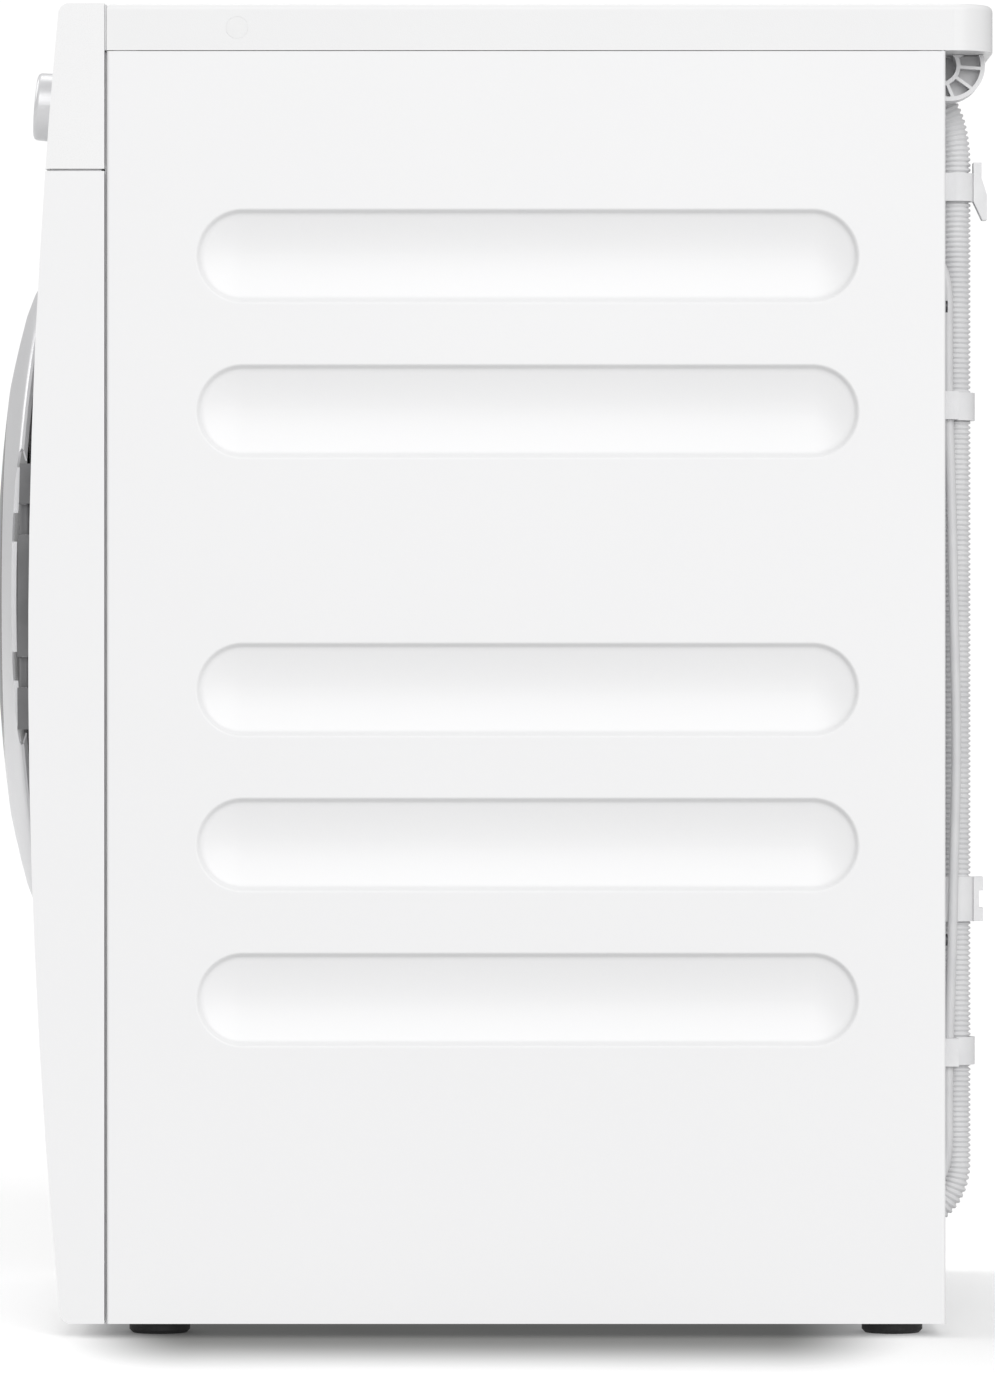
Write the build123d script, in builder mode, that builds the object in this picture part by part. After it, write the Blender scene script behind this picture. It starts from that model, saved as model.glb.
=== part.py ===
import os
from math import atan2, cos, pi, radians, sin, sqrt, tan

from build123d import *

os.makedirs("parts", exist_ok=True)

# Overall sizes, in millimetres. The front faces -Y and the object stands on z = 0.
width = 596.0
height = 850.0
half_width = width / 2
cabinet_front = -239.5
cabinet_back = 295.0
lid_overhang = 31.5
lid_thickness = 30.0
floor_gap = 8.5
front_gap = 1.5
sheet = 1.2
seat_gap = 0.3

# Bowed front, one tall arc shared by the fascia, the container front and the front panel.
front_bow_radius = 4400.0
front_apex = -289.5
front_crown_height = 435.0
fascia_height = 105.5
fascia_gap = 1.4
moulding_wall = 3.0

# Pressed beads of the side panels.
bead_length = 423.5
bead_height = 61.0
bead_depth = 7.0
bead_centre = 28.7
bead_drops = [131.0, 230.0, 407.4, 506.2, 605.0]
bead_draft = 38.0
bead_wall = 3.2
bead_ledge = 0.5
flange = 14.0

# Controls and condensate container on the fascia, placed from the fascia's top and ends.
knob_x = half_width - 208.0
knob_height = height - 52.0
knob_radius = 23.0
knob_length = 22.0
display_x = half_width - 108.0
display_width = 92.0
display_height = 40.0
button_radius = 10.0
button_travel = 3.0
start_button_x = half_width - 30.0
container_left = 14.0 - half_width
container_right = container_left + 186.0
container_low = height - 95.0
container_high = height - 9.0
container_length = 440.0
container_depth = 54.0
power_button_x = container_right + 40.0

# Drum, as large as the cabinet allows, hung under the container with a gap for the belt.
drum_radius = 0.225 * width + 0.16 * height - 2.1
drum_top_gap = 14.0
drum_front = -190.0
drum_back = 238.0
drum_wall = 1.5
drum_opening = 198.0

# Door and loading throat, in line with the drum.
door_centre_height = container_low - drum_top_gap - drum_radius
door_radius = 225.0
door_apex = -326.5
lens_radius = 152.0
door_clearance = 2.5
dish_depth = 40.0
throat_radius = 186.0
throat_wall = 3.0
hinge_chord = 203.0
hinge_axis_x = 213.0
hinge_axis_y = -296.0
hinge_height = 172.0
hinge_pin_radius = 3.0
running_gap = 0.05

# Drum drive.
shaft_radius = 10.0
belt_thickness = 3.0
belt_width = 12.0
belt_place = 0.0
motor_x = half_width - 126.0
motor_height = 112.0
motor_pulley_radius = 10.0
roller_radius = 30.0
roller_angle = 35.0
roller_width = 18.0
axle_radius = 6.0
arm_thickness = 6.0
arm_half_width = 9.0
pivot_x = 70.0
pivot_height = 60.0

# Base, feet and heat pump.
base_depth = 52.0
base_wall = 3.0
foot_radius = 19.5
foot_x = half_width - 43.0
foot_front = -207.5
foot_back = 263.0
stud_radius = 5.0
flap_left = 36.0 - half_width
flap_right = -14.0
flap_low = 42.0
flap_high = 0.27 * height - 41.5

# Drain hose and clipped lead on the rear panel.
hose_x = half_width - 73.0
hose_radius = 10.0
hose_bore = 7.2
hose_bend = 40.0
hose_lean = 70.0
hose_lean_turn = 40.0
hose_lean_drop = 63.0
rib_count = 48
guide_radius = 22.7
guide_length = 25.0
lead_radius = 3.2
lead_x = half_width - 46.0

# Places that follow from the sizes above.
lid_back = cabinet_back + lid_overhang
lid_bottom = height - lid_thickness
fascia_bottom = height - fascia_height
panel_top = fascia_bottom - fascia_gap
front_back = cabinet_front - front_gap
panel_depth = cabinet_back - cabinet_front
panel_middle = (cabinet_back + cabinet_front) / 2
bow_centre_y = front_apex + front_bow_radius
dish_floor = front_apex + dish_depth
dish_radius = door_radius + door_clearance
bead_heights = [lid_bottom - drop for drop in bead_drops]


def bow_y(z):
    """Front surface of the bow at height z."""
    return bow_centre_y - sqrt(front_bow_radius**2 - (z - front_crown_height) ** 2)


def bow_plane(x, z, depth=0.0):
    """Plane on the bow, facing out of the front, sunk by depth."""
    out = Vector(0, bow_y(z) - bow_centre_y, z - front_crown_height).normalized()
    return Plane(origin=Vector(x, bow_y(z), z) - out * depth, x_dir=(1, 0, 0), z_dir=out)


def front_plane(y):
    """Upright plane at depth y, facing the front, with X to the right and Z up."""
    return Plane(origin=(0, y, 0), x_dir=(1, 0, 0), z_dir=(0, -1, 0))


def bow_profile(low, high, inset, back, x=0.0):
    """Side outline at x between the bow, sunk by inset, and an upright line at depth back."""
    with BuildSketch(Plane.YZ.offset(x)) as outline:
        with BuildLine():
            ends = [(bow_y(low) + inset, low), (bow_y(high) + inset, high)]
            middle = (low + high) / 2
            ThreePointArc(ends[0], (bow_y(middle) + inset, middle), ends[1])
            Polyline(ends[1], (back, high), (back, low), ends[0])
        make_face()
    return outline.sketch


def save(piece, name):
    """Label a finished piece and write its file."""
    piece.part.label = name
    export_step(piece.part, f"parts/{name}.step")


# Side panels: folded sheet with front and rear flanges and five pressed beads, each with a dished floor.
bead_run = bead_length - bead_height
floor_drop = bead_depth - bead_wall
floor_half = bead_height / 2 - bead_wall * tan(radians(bead_draft)) - bead_ledge
floor_radius = (floor_half**2 + floor_drop**2) / (2 * floor_drop)


def bead_floor(side):
    """Round-bottomed cutter below a bead's wall, at height zero."""
    axis = side * (half_width - bead_depth + floor_radius)
    with BuildPart() as cutter:
        with Locations(Location((axis, bead_centre, 0), (90, 0, 0))):
            Cylinder(floor_radius, bead_run)
        with Locations((axis, bead_centre - bead_run / 2, 0), (axis, bead_centre + bead_run / 2, 0)):
            Sphere(floor_radius)
        with Locations((side * (half_width - bead_wall + floor_radius), bead_centre, 0)):
            Box(2 * floor_radius, bead_run + 3 * floor_radius, 3 * floor_radius, mode=Mode.SUBTRACT)
    return cutter.part


def side_panel(side):
    outer = side * half_width
    panel_height = lid_bottom - floor_gap
    with BuildPart() as panel:
        with BuildSketch(Plane.XY.offset(floor_gap)):
            with Locations((outer - side * flange / 2, panel_middle)):
                Rectangle(flange, panel_depth)
            with Locations((outer - side * (flange / 2 + sheet), panel_middle)):
                Rectangle(flange, panel_depth - 2 * sheet, mode=Mode.SUBTRACT)
        extrude(amount=panel_height)
        bead_face = Plane.YZ.offset(outer)
        with BuildSketch(bead_face):
            with Locations(*[(bead_centre, z) for z in bead_heights]):
                SlotOverall(bead_length + 2 * sheet, bead_height + 2 * sheet)
        extrude(amount=-side * (bead_depth + sheet), taper=bead_draft)
        with BuildSketch(bead_face):
            with Locations(*[(bead_centre, z) for z in bead_heights]):
                SlotOverall(bead_length, bead_height)
        extrude(amount=-side * bead_wall, taper=bead_draft, mode=Mode.SUBTRACT)
        floor = bead_floor(side)
        for z in bead_heights:
            add(Pos(0, 0, z) * floor, mode=Mode.SUBTRACT)
    return panel


for side, word in [(1, "right"), (-1, "left")]:
    save(side_panel(side), f"side_panel_{word}")

# Lid: a deep pan with rounded rear corners, open underneath.
lid_corner = 26.0
lid_edge = 4.0
lid_depth = lid_back - cabinet_front
lid_middle = (lid_back + cabinet_front) / 2
cap_radius = 7.0
cap_depth = 2.6
cap_y = -156.5
cap_height = lid_bottom + 14.5
with BuildPart() as lid:
    with BuildSketch(Plane.XY.offset(lid_bottom)):
        with Locations((0, lid_middle)):
            Rectangle(width, lid_depth)
    extrude(amount=lid_thickness)
    fillet(lid.edges().filter_by(Axis.Z).group_by(Axis.Y)[-1], lid_corner)
    fillet(lid.faces().sort_by(Axis.Z)[-1].edges(), lid_edge)
    with BuildSketch(Plane.XY.offset(lid_bottom)):
        with Locations((0, (cabinet_front + cabinet_back) / 2)):
            Rectangle(width - 2 * flange, panel_depth - 2 * flange)
    extrude(amount=lid_thickness - moulding_wall, mode=Mode.SUBTRACT)
    for side in (1, -1):
        with BuildSketch(Plane.YZ.offset(side * half_width)):
            with Locations((cap_y, cap_height)):
                Circle(cap_radius + running_gap)
        extrude(amount=-side * cap_depth, mode=Mode.SUBTRACT)
save(lid, "lid")

with BuildPart() as lid_screw_caps:
    for side in (1, -1):
        with BuildSketch(Plane.YZ.offset(side * (half_width - cap_depth))):
            with Locations((cap_y, cap_height)):
                Circle(cap_radius)
        extrude(amount=side * cap_depth)
save(lid_screw_caps, "lid_screw_caps")

# Rear panel: flat sheet behind the flanges, with a round air duct, holes for the hose and the inlet,
# and a port inside its upper notch where the hose ends.
rear_inner = cabinet_back - 2 * sheet
rear_outer = cabinet_back - sheet
hose_y = cabinet_back + hose_radius + seat_gap
hose_turn_height = 111.0
hose_slot_height = hose_turn_height - 24.5
hose_slot_length = 42.0
hose_lean_low = lid_bottom - hose_lean_drop
lean_sine = sin(radians(hose_lean_turn))
lean_cosine = cos(radians(hose_lean_turn))
hose_end_y = hose_y - hose_lean * (1 - lean_cosine)
hose_end_height = hose_lean_low + hose_lean * lean_sine
hose_hole = hose_radius + seat_gap
notch_low = hose_lean_low + 8.0
port_half = hose_hole + 3.0
port_front = hose_end_y - 10.0
port_low = hose_end_height - 10.0
port_high = hose_end_height + 5.0
inlet_x = 83.0 - half_width
inlet_height = 120.0
inlet_width = 48.0
inlet_tall = 28.0
inlet_depth = 18.0
duct_radius = drum_radius - 14.0
duct_wall = 2.0
hub_thickness = 5.0
with BuildPart() as rear_panel:
    with BuildSketch(front_plane(rear_outer)):
        with Locations((0, (floor_gap + lid_bottom) / 2)):
            Rectangle(width - 2 * sheet - 2 * seat_gap, lid_bottom - floor_gap)
        with Locations((inlet_x, inlet_height)):
            Rectangle(inlet_width, inlet_tall, mode=Mode.SUBTRACT)
        with Locations((hose_x, hose_slot_height)):
            SlotOverall(hose_slot_length, 2 * hose_radius + 1, rotation=90, mode=Mode.SUBTRACT)
        with Locations((hose_x, (notch_low + lid_bottom) / 2)):
            Rectangle(2 * hose_radius + 1, lid_bottom - notch_low, mode=Mode.SUBTRACT)
    extrude(amount=sheet)
    with BuildSketch(Plane.YZ.offset(hose_x - port_half)):
        with Locations(((port_front + rear_outer) / 2, (port_low + port_high) / 2)):
            Rectangle(rear_outer - port_front, port_high - port_low)
    extrude(amount=2 * port_half)
    hose_mouth = Vector(hose_x, hose_end_y, hose_end_height)
    with BuildSketch(Plane(origin=hose_mouth, x_dir=(1, 0, 0), z_dir=(0, -lean_sine, lean_cosine))):
        Circle(hose_hole)
    extrude(amount=-hose_lean, mode=Mode.SUBTRACT)
    with BuildSketch(Plane(origin=hose_mouth, x_dir=(1, 0, 0), z_dir=(0, -lean_sine, lean_cosine))):
        Circle(hose_bore)
    extrude(amount=hose_lean, mode=Mode.SUBTRACT)
    with BuildSketch(front_plane(rear_outer)):
        with Locations((0, door_centre_height)):
            Circle(duct_radius)
            Circle(duct_radius - duct_wall, mode=Mode.SUBTRACT)
    extrude(amount=rear_outer - drum_back - hub_thickness)
save(rear_panel, "rear_panel")

# Fascia: moulded control panel on the bow, open at the back, resting on the front panel on two low pads.
fascia_edge = 7.0
control_hole_depth = 4 * moulding_wall
knob_stem_radius = 5.0
window_depth = 1.6
board_depth = 15.0
rest_x = 200.0
rest_width = 30.0
rest_depth = 8.0
post_radius = 4.0
post_left = power_button_x + 64.0
post_right = half_width - 12.0
post_rise = 36.0
post_places = [(x, knob_height + rise) for x in (post_left, post_right) for rise in (-post_rise, post_rise)]
with BuildPart() as fascia:
    extrude(bow_profile(fascia_bottom, height, 0, front_back), amount=half_width, both=True)
    fillet(fascia.edges().filter_by(Axis.X).group_by(Axis.Z)[-1].sort_by(Axis.Y)[0], fascia_edge)
    hollow = bow_profile(fascia_bottom + moulding_wall, height - moulding_wall, moulding_wall, front_back)
    extrude(hollow, amount=half_width - moulding_wall, both=True, mode=Mode.SUBTRACT)
    with BuildSketch(front_plane(front_back)):
        with Locations(((container_left + container_right) / 2, (container_low + container_high) / 2)):
            Rectangle(container_right - container_left, container_high - container_low)
    extrude(amount=front_back - front_apex, mode=Mode.SUBTRACT)
    for x, radius in [
        (knob_x, knob_stem_radius + running_gap),
        (power_button_x, button_radius + seat_gap),
        (start_button_x, button_radius + seat_gap),
    ]:
        with BuildSketch(bow_plane(x, knob_height)):
            Circle(radius)
        extrude(amount=control_hole_depth / 2, both=True, mode=Mode.SUBTRACT)
    with BuildSketch(bow_plane(display_x, knob_height, window_depth)):
        Rectangle(display_width, display_height)
    extrude(amount=control_hole_depth, mode=Mode.SUBTRACT)
    for x, z in post_places:
        with BuildSketch(bow_plane(x, z, board_depth)):
            Circle(post_radius)
        extrude(amount=board_depth - moulding_wall / 2)
    with BuildSketch(Plane.XY.offset(panel_top)):
        with Locations((-rest_x, front_back - rest_depth), (rest_x, front_back - rest_depth)):
            Rectangle(rest_width, rest_depth)
    extrude(amount=fascia_gap)
save(fascia, "fascia")

with BuildPart() as display_window:
    with BuildSketch(bow_plane(display_x, knob_height, window_depth)):
        Rectangle(display_width - 2 * seat_gap, display_height - 2 * seat_gap)
    extrude(amount=window_depth)
save(display_window, "display_window")

# Control board on the fascia's four posts, with the encoder behind the knob.
board_thickness = 1.6
board_margin = 6.0
encoder_size = 16.0
with BuildPart() as control_board:
    with BuildSketch(bow_plane((post_left + post_right) / 2, knob_height, board_depth + seat_gap)):
        Rectangle(post_right - post_left + 2 * board_margin, 2 * (post_rise + board_margin))
    extrude(amount=-board_thickness)
    with BuildSketch(bow_plane(knob_x, knob_height, board_depth + seat_gap)):
        Rectangle(encoder_size, encoder_size)
    extrude(amount=-encoder_size / 2)
save(control_board, "control_board")

# Program knob: a turned cap with a soft front edge and a pointer groove, on a stem through the fascia.
knob_edge = 3.0
with BuildPart() as program_knob:
    with BuildSketch(bow_plane(knob_x, knob_height, -seat_gap)):
        Circle(knob_radius)
    extrude(amount=knob_length, taper=2)
    fillet(program_knob.faces().sort_by(Axis.Y)[0].edges(), knob_edge)
    with BuildSketch(bow_plane(knob_x, knob_height, -knob_length)):
        with Locations((0, knob_radius * 0.62)):
            SlotOverall(knob_radius * 0.5, 2.4, rotation=90)
    extrude(amount=knob_edge, mode=Mode.SUBTRACT)
    with BuildSketch(bow_plane(knob_x, knob_height, board_depth)):
        Circle(knob_stem_radius)
    extrude(amount=board_depth + 2 * seat_gap)
save(program_knob, "program_knob")

# Push buttons: a cap in its hole, a collar behind the wall and a stem towards the board.
button_proud = 0.8
collar_thickness = 1.5
collar_lip = 2.0
stem_end = board_depth - button_travel - 1.0
for x, word in [(power_button_x, "power"), (start_button_x, "start")]:
    collar_depth = moulding_wall + seat_gap + collar_thickness
    with BuildPart() as button:
        with BuildSketch(bow_plane(x, knob_height, collar_depth)):
            Circle(button_radius)
        extrude(amount=collar_depth + button_proud)
        chamfer(button.faces().sort_by(Axis.Y)[0].edges(), button_proud / 2)
        with BuildSketch(bow_plane(x, knob_height, collar_depth)):
            Circle(button_radius + collar_lip)
        extrude(amount=collar_thickness)
        with BuildSketch(bow_plane(x, knob_height, stem_end)):
            Circle(button_radius / 3)
        extrude(amount=stem_end - collar_depth)
    save(button, f"{word}_button")

# Condensate container: front plate on the bow with a finger scoop, and the tank behind it.
container_gap = 1.0
plate_thickness = 3.0
scoop_width = 96.0
scoop_height = 26.0
scoop_depth = 15.0
scoop_overlap = 4.0
tank_lift = 3.0
tank_side_gap = 4.0
container_middle = (container_left + container_right) / 2
container_half = (container_right - container_left) / 2
tank_front = bow_y(container_high) + moulding_wall
tank_low = container_low + tank_lift
tank_half = container_half - tank_side_gap
scoop_centre = tank_low + container_depth + scoop_height / 2 - scoop_overlap
plate_left = container_left + container_gap
plate_right = container_right - container_gap
with BuildPart() as container_front:
    plate_low = container_low + container_gap
    plate_high = container_high - container_gap
    extrude(bow_profile(plate_low, plate_high, 0, tank_front, plate_left), amount=plate_right - plate_left)
    with BuildSketch(front_plane(tank_front + scoop_depth)):
        with Locations((container_middle, scoop_centre)):
            Rectangle(scoop_width + 2 * plate_thickness, scoop_height + 2 * plate_thickness)
    extrude(amount=scoop_depth)
    with BuildSketch(front_plane(tank_front + scoop_depth - plate_thickness)):
        with Locations((container_middle, scoop_centre)):
            RectangleRounded(scoop_width, scoop_height, scoop_height / 3)
    extrude(amount=2 * scoop_depth + moulding_wall, mode=Mode.SUBTRACT)
save(container_front, "container_front")

tank_top = scoop_centre - scoop_height / 2 - plate_thickness - seat_gap
tank_edge = 6.0
spout_radius = 14.0
with BuildPart() as condensate_tank:
    with BuildSketch(Plane.XY.offset(tank_low)):
        with Locations((container_middle, tank_front + container_length / 2)):
            Rectangle(2 * tank_half, container_length)
    extrude(amount=tank_top - tank_low)
    fillet(condensate_tank.edges().filter_by(Axis.Y), tank_edge)
    with BuildSketch(Plane.XY.offset(tank_top)):
        with Locations((container_middle, tank_front + container_length - 2 * spout_radius)):
            Circle(spout_radius)
    extrude(amount=-spout_radius, mode=Mode.SUBTRACT)
save(condensate_tank, "condensate_tank")

# Container housing: an open-topped guide trough that the tank slides in, standing on the bulkhead.
trough_wall = 2.0
trough_tall = 38.0
trough_end_gap = 6.0
trough_floor = tank_low - seat_gap - trough_wall
trough_front = cabinet_front + sheet + seat_gap
trough_back = tank_front + container_length + trough_end_gap
with BuildPart() as container_housing:
    with BuildSketch(Plane.XY.offset(trough_floor)):
        with Locations((container_middle, (trough_front + trough_back) / 2)):
            Rectangle(2 * (tank_half + seat_gap + trough_wall), trough_back - trough_front)
    extrude(amount=trough_tall)
    with BuildSketch(Plane.XY.offset(trough_floor + trough_wall)):
        with Locations((container_middle, (trough_front + trough_back) / 2 - trough_wall)):
            Rectangle(2 * (tank_half + seat_gap), trough_back - trough_front)
    extrude(amount=container_depth, mode=Mode.SUBTRACT)
save(container_housing, "container_housing")

# Front panel: bowed pressing with deep returns, a round dish for the door and an opening for the base flap.
front_wall = 2.0
panel_edge = 8.0
flap_gap = 1.2
hook_radius = 207.0
hook_slot = 14.0
hook_height = 26.0
flap_pin_radius = 2.0
flap_pin_length = 5.0
flap_axis_rise = 4.0
flap_axis_height = flap_low + 2 * flap_gap + flap_axis_rise
flap_axis_y = bow_y(flap_axis_height) + moulding_wall + 0.8 * flap_pin_radius
lug_width = 8.0
ear_size = 12.0
with BuildPart() as front_hollow:
    hollow = bow_profile(floor_gap + front_wall, panel_top - front_wall, front_wall, front_back)
    extrude(hollow, amount=half_width - front_wall, both=True)
    with BuildSketch(front_plane(dish_floor + front_wall)):
        with Locations((0, door_centre_height)):
            Circle(dish_radius + front_wall)
    extrude(amount=2 * dish_depth, mode=Mode.SUBTRACT)
with BuildPart() as flap_ears:
    for x, way in [(flap_left - seat_gap, -1), (flap_right + seat_gap, 1)]:
        with BuildSketch(Plane.YZ.offset(x)):
            with Locations((flap_axis_y + flap_pin_radius, flap_axis_height)):
                Rectangle(ear_size, ear_size)
            with Locations((flap_axis_y, flap_axis_height)):
                Circle(flap_pin_radius + running_gap, mode=Mode.SUBTRACT)
        extrude(amount=way * flap_pin_length)
    add(front_hollow.part, mode=Mode.INTERSECT)
with BuildPart() as front_panel:
    extrude(bow_profile(floor_gap, panel_top, 0, front_back), amount=half_width, both=True)
    fillet(front_panel.edges().filter_by(Axis.X).group_by(Axis.Z)[0].sort_by(Axis.Y)[0], panel_edge)
    add(front_hollow.part, mode=Mode.SUBTRACT)
    with BuildSketch(front_plane(dish_floor)):
        with Locations((0, door_centre_height)):
            Circle(dish_radius)
    extrude(amount=2 * dish_depth, mode=Mode.SUBTRACT)
    with BuildSketch(front_plane(front_back)):
        with Locations((0, door_centre_height)):
            Circle(throat_radius)
        with Locations((-hook_radius, door_centre_height)):
            Rectangle(hook_slot, hook_height)
        with Locations(((flap_left + flap_right) / 2, (flap_low + flap_high) / 2)):
            Rectangle(flap_right - flap_left, flap_high - flap_low)
    extrude(amount=2 * dish_depth, mode=Mode.SUBTRACT)
    add(flap_ears.part)
save(front_panel, "front_panel")

# Base flap: access cover on the bow, turning on two end pins low behind its face.
with BuildPart() as base_flap:
    flap_ends = [flap_low + 2 * flap_gap, flap_high - flap_gap]
    flap_face = bow_profile(*flap_ends, 0, front_back, flap_left + flap_gap)
    extrude(flap_face, amount=flap_right - flap_left - 2 * flap_gap)
    flap_rear = bow_profile(flap_low, flap_high, moulding_wall, front_back, flap_left)
    extrude(flap_rear, amount=flap_right - flap_left, mode=Mode.SUBTRACT)
    for x, way in [(flap_left + flap_gap, -1), (flap_right - flap_gap, 1)]:
        with BuildSketch(Plane.YZ.offset(x)):
            with Locations((flap_axis_y, flap_axis_height)):
                Rectangle(2 * moulding_wall, 2 * flap_pin_radius)
        extrude(amount=-way * lug_width)
        with BuildSketch(Plane.YZ.offset(x)):
            with Locations((flap_axis_y, flap_axis_height)):
                Circle(flap_pin_radius)
        extrude(amount=way * (flap_pin_length + flap_gap))
save(base_flap, "base_flap")

# Base tray: open moulded trough that carries the heat pump, with bosses for the feet and a tensioner post.
tray_half = half_width - sheet - seat_gap
tray_front = cabinet_front + sheet + seat_gap
tray_back = rear_inner - seat_gap
boss_radius = 14.0
boss_height = 42.0
pin_proud = 1.0
tray_floor = floor_gap + base_wall
arm_front = belt_place + seat_gap
post_front = arm_front + arm_thickness + seat_gap
foot_places = [(sx * foot_x, y) for sx in (-1, 1) for y in (foot_front, foot_back)]
with BuildPart() as base_tray:
    with BuildSketch(Plane.XY.offset(floor_gap)):
        with Locations((0, (tray_front + tray_back) / 2)):
            Rectangle(2 * tray_half, tray_back - tray_front)
    extrude(amount=base_depth)
    with BuildSketch(Plane.XY.offset(tray_floor)):
        with Locations((0, (tray_front + tray_back) / 2)):
            Rectangle(2 * (tray_half - base_wall), tray_back - tray_front - 2 * base_wall)
    extrude(amount=base_depth, mode=Mode.SUBTRACT)
    with BuildSketch(Plane.XY.offset(floor_gap)):
        with Locations(*foot_places):
            Circle(boss_radius)
    extrude(amount=boss_height)
    with BuildSketch(Plane.XY.offset(floor_gap)):
        with Locations(*foot_places):
            Circle(stud_radius + running_gap)
    extrude(amount=boss_height, mode=Mode.SUBTRACT)
    with BuildSketch(Plane.XY.offset(tray_floor)):
        with Locations((pivot_x, post_front + arm_half_width)):
            Rectangle(3 * arm_half_width, 2 * arm_half_width)
    extrude(amount=pivot_height + arm_half_width - tray_floor)
    with BuildSketch(front_plane(post_front)):
        with Locations((pivot_x, pivot_height)):
            Circle(axle_radius)
    extrude(amount=arm_thickness + pin_proud)
save(base_tray, "base_tray")

# Screw feet: a round pad with a bevelled lower edge on a stud.
pad_edge = 2.2
for (x, y), word in zip(foot_places, ["front_left", "rear_left", "front_right", "rear_right"]):
    with BuildPart() as foot:
        with BuildSketch():
            with Locations((x, y)):
                Circle(foot_radius)
        extrude(amount=floor_gap - seat_gap)
        chamfer(foot.faces().sort_by(Axis.Z)[0].edges(), pad_edge)
        with BuildSketch(Plane.XY.offset(floor_gap - seat_gap)):
            with Locations((x, y)):
                Circle(stud_radius)
        extrude(amount=boss_height - seat_gap)
    save(foot, f"foot_{word}")

# Front bulkhead: upright plate with the loading throat as a collar, the filter pocket and the roller axles.
bulkhead_sheet = 2.0
bulkhead_front = cabinet_front + sheet + seat_gap
bulkhead_back = bulkhead_front + bulkhead_sheet
bulkhead_low = floor_gap + base_depth
throat_overlap = 8.0
throat_back = drum_front + throat_overlap
throat_front = dish_floor + front_wall
filter_half = 86.0
filter_tall = 64.0
filter_front = bulkhead_back + 6.0
filter_back = drum_front - 14.0
filter_top = door_centre_height - throat_radius - 1.0
filter_low = filter_top - filter_tall
pocket_wall = 2.0
pocket_low = filter_low - seat_gap - pocket_wall
pocket_back = filter_back + seat_gap + pocket_wall
roller_reach = drum_radius + roller_radius + seat_gap
roller_x = roller_reach * sin(radians(roller_angle))
roller_height = door_centre_height - roller_reach * cos(radians(roller_angle))
roller_front = drum_front + 4.0
axle_boss_end = roller_front - 1.0
with BuildPart() as front_bulkhead:
    with BuildSketch(front_plane(bulkhead_back)):
        with Locations((0, (bulkhead_low + trough_floor) / 2)):
            Rectangle(2 * (half_width - sheet - seat_gap), trough_floor - bulkhead_low)
        with Locations(((flap_left + flap_right) / 2, (flap_low + flap_high) / 2)):
            Rectangle(flap_right - flap_left, flap_high - flap_low, mode=Mode.SUBTRACT)
    extrude(amount=bulkhead_sheet)
    with BuildSketch(Plane.XY.offset(pocket_low)):
        with Locations((0, (bulkhead_front + pocket_back) / 2)):
            Rectangle(2 * (filter_half + seat_gap + pocket_wall), pocket_back - bulkhead_front)
    extrude(amount=filter_top - pocket_low)
    with BuildSketch(front_plane(throat_back)):
        with Locations((0, door_centre_height)):
            Circle(throat_radius + throat_wall)
    extrude(amount=throat_back - throat_front)
    with BuildSketch(front_plane(throat_back)):
        with Locations((0, door_centre_height)):
            Circle(throat_radius)
    extrude(amount=throat_back - throat_front, mode=Mode.SUBTRACT)
    with BuildSketch(Plane.XY.offset(filter_low - seat_gap)):
        with Locations((0, (filter_front + filter_back) / 2)):
            Rectangle(2 * (filter_half + seat_gap), filter_back - filter_front + 2 * seat_gap)
    extrude(amount=throat_radius / 2, mode=Mode.SUBTRACT)
    for side in (1, -1):
        with BuildSketch(front_plane(roller_front + roller_width)):
            with Locations((side * roller_x, roller_height)):
                Circle(axle_radius)
        extrude(amount=roller_front + roller_width - bulkhead_front)
        with BuildSketch(front_plane(axle_boss_end)):
            with Locations((side * roller_x, roller_height)):
                Circle(2 * axle_radius)
        extrude(amount=axle_boss_end - bulkhead_front)
save(front_bulkhead, "front_bulkhead")

# Seals: felt ring between the throat and the drum, and a rubber lip that the door closes on.
felt_width = 20.0
felt_thickness = 9.0
with BuildPart() as drum_felt_seal:
    with BuildSketch(front_plane(drum_front - seat_gap)):
        with Locations((0, door_centre_height)):
            Circle(throat_radius + throat_wall + seat_gap + felt_width)
            Circle(throat_radius + throat_wall + seat_gap, mode=Mode.SUBTRACT)
    extrude(amount=felt_thickness)
save(drum_felt_seal, "drum_felt_seal")

lip_width = 14.0
lip_height = 8.0
lip_shoulder = 5.0
lip_nose = 3.0
with BuildPart() as door_seal:
    with BuildSketch(Plane.YZ):
        with BuildLine():
            lip_low = door_centre_height + throat_radius
            lip_middle = lip_low + lip_width / 2
            Polyline(
                (dish_floor, lip_low),
                (dish_floor - lip_shoulder, lip_low),
                (dish_floor - lip_height, lip_middle - lip_nose),
                (dish_floor - lip_height, lip_middle + lip_nose),
                (dish_floor - lip_shoulder, lip_low + lip_width),
                (dish_floor, lip_low + lip_width),
                close=True,
            )
        make_face()
    revolve(axis=Axis((0, 0, door_centre_height), (0, 1, 0)))
save(door_seal, "door_seal")

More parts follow.
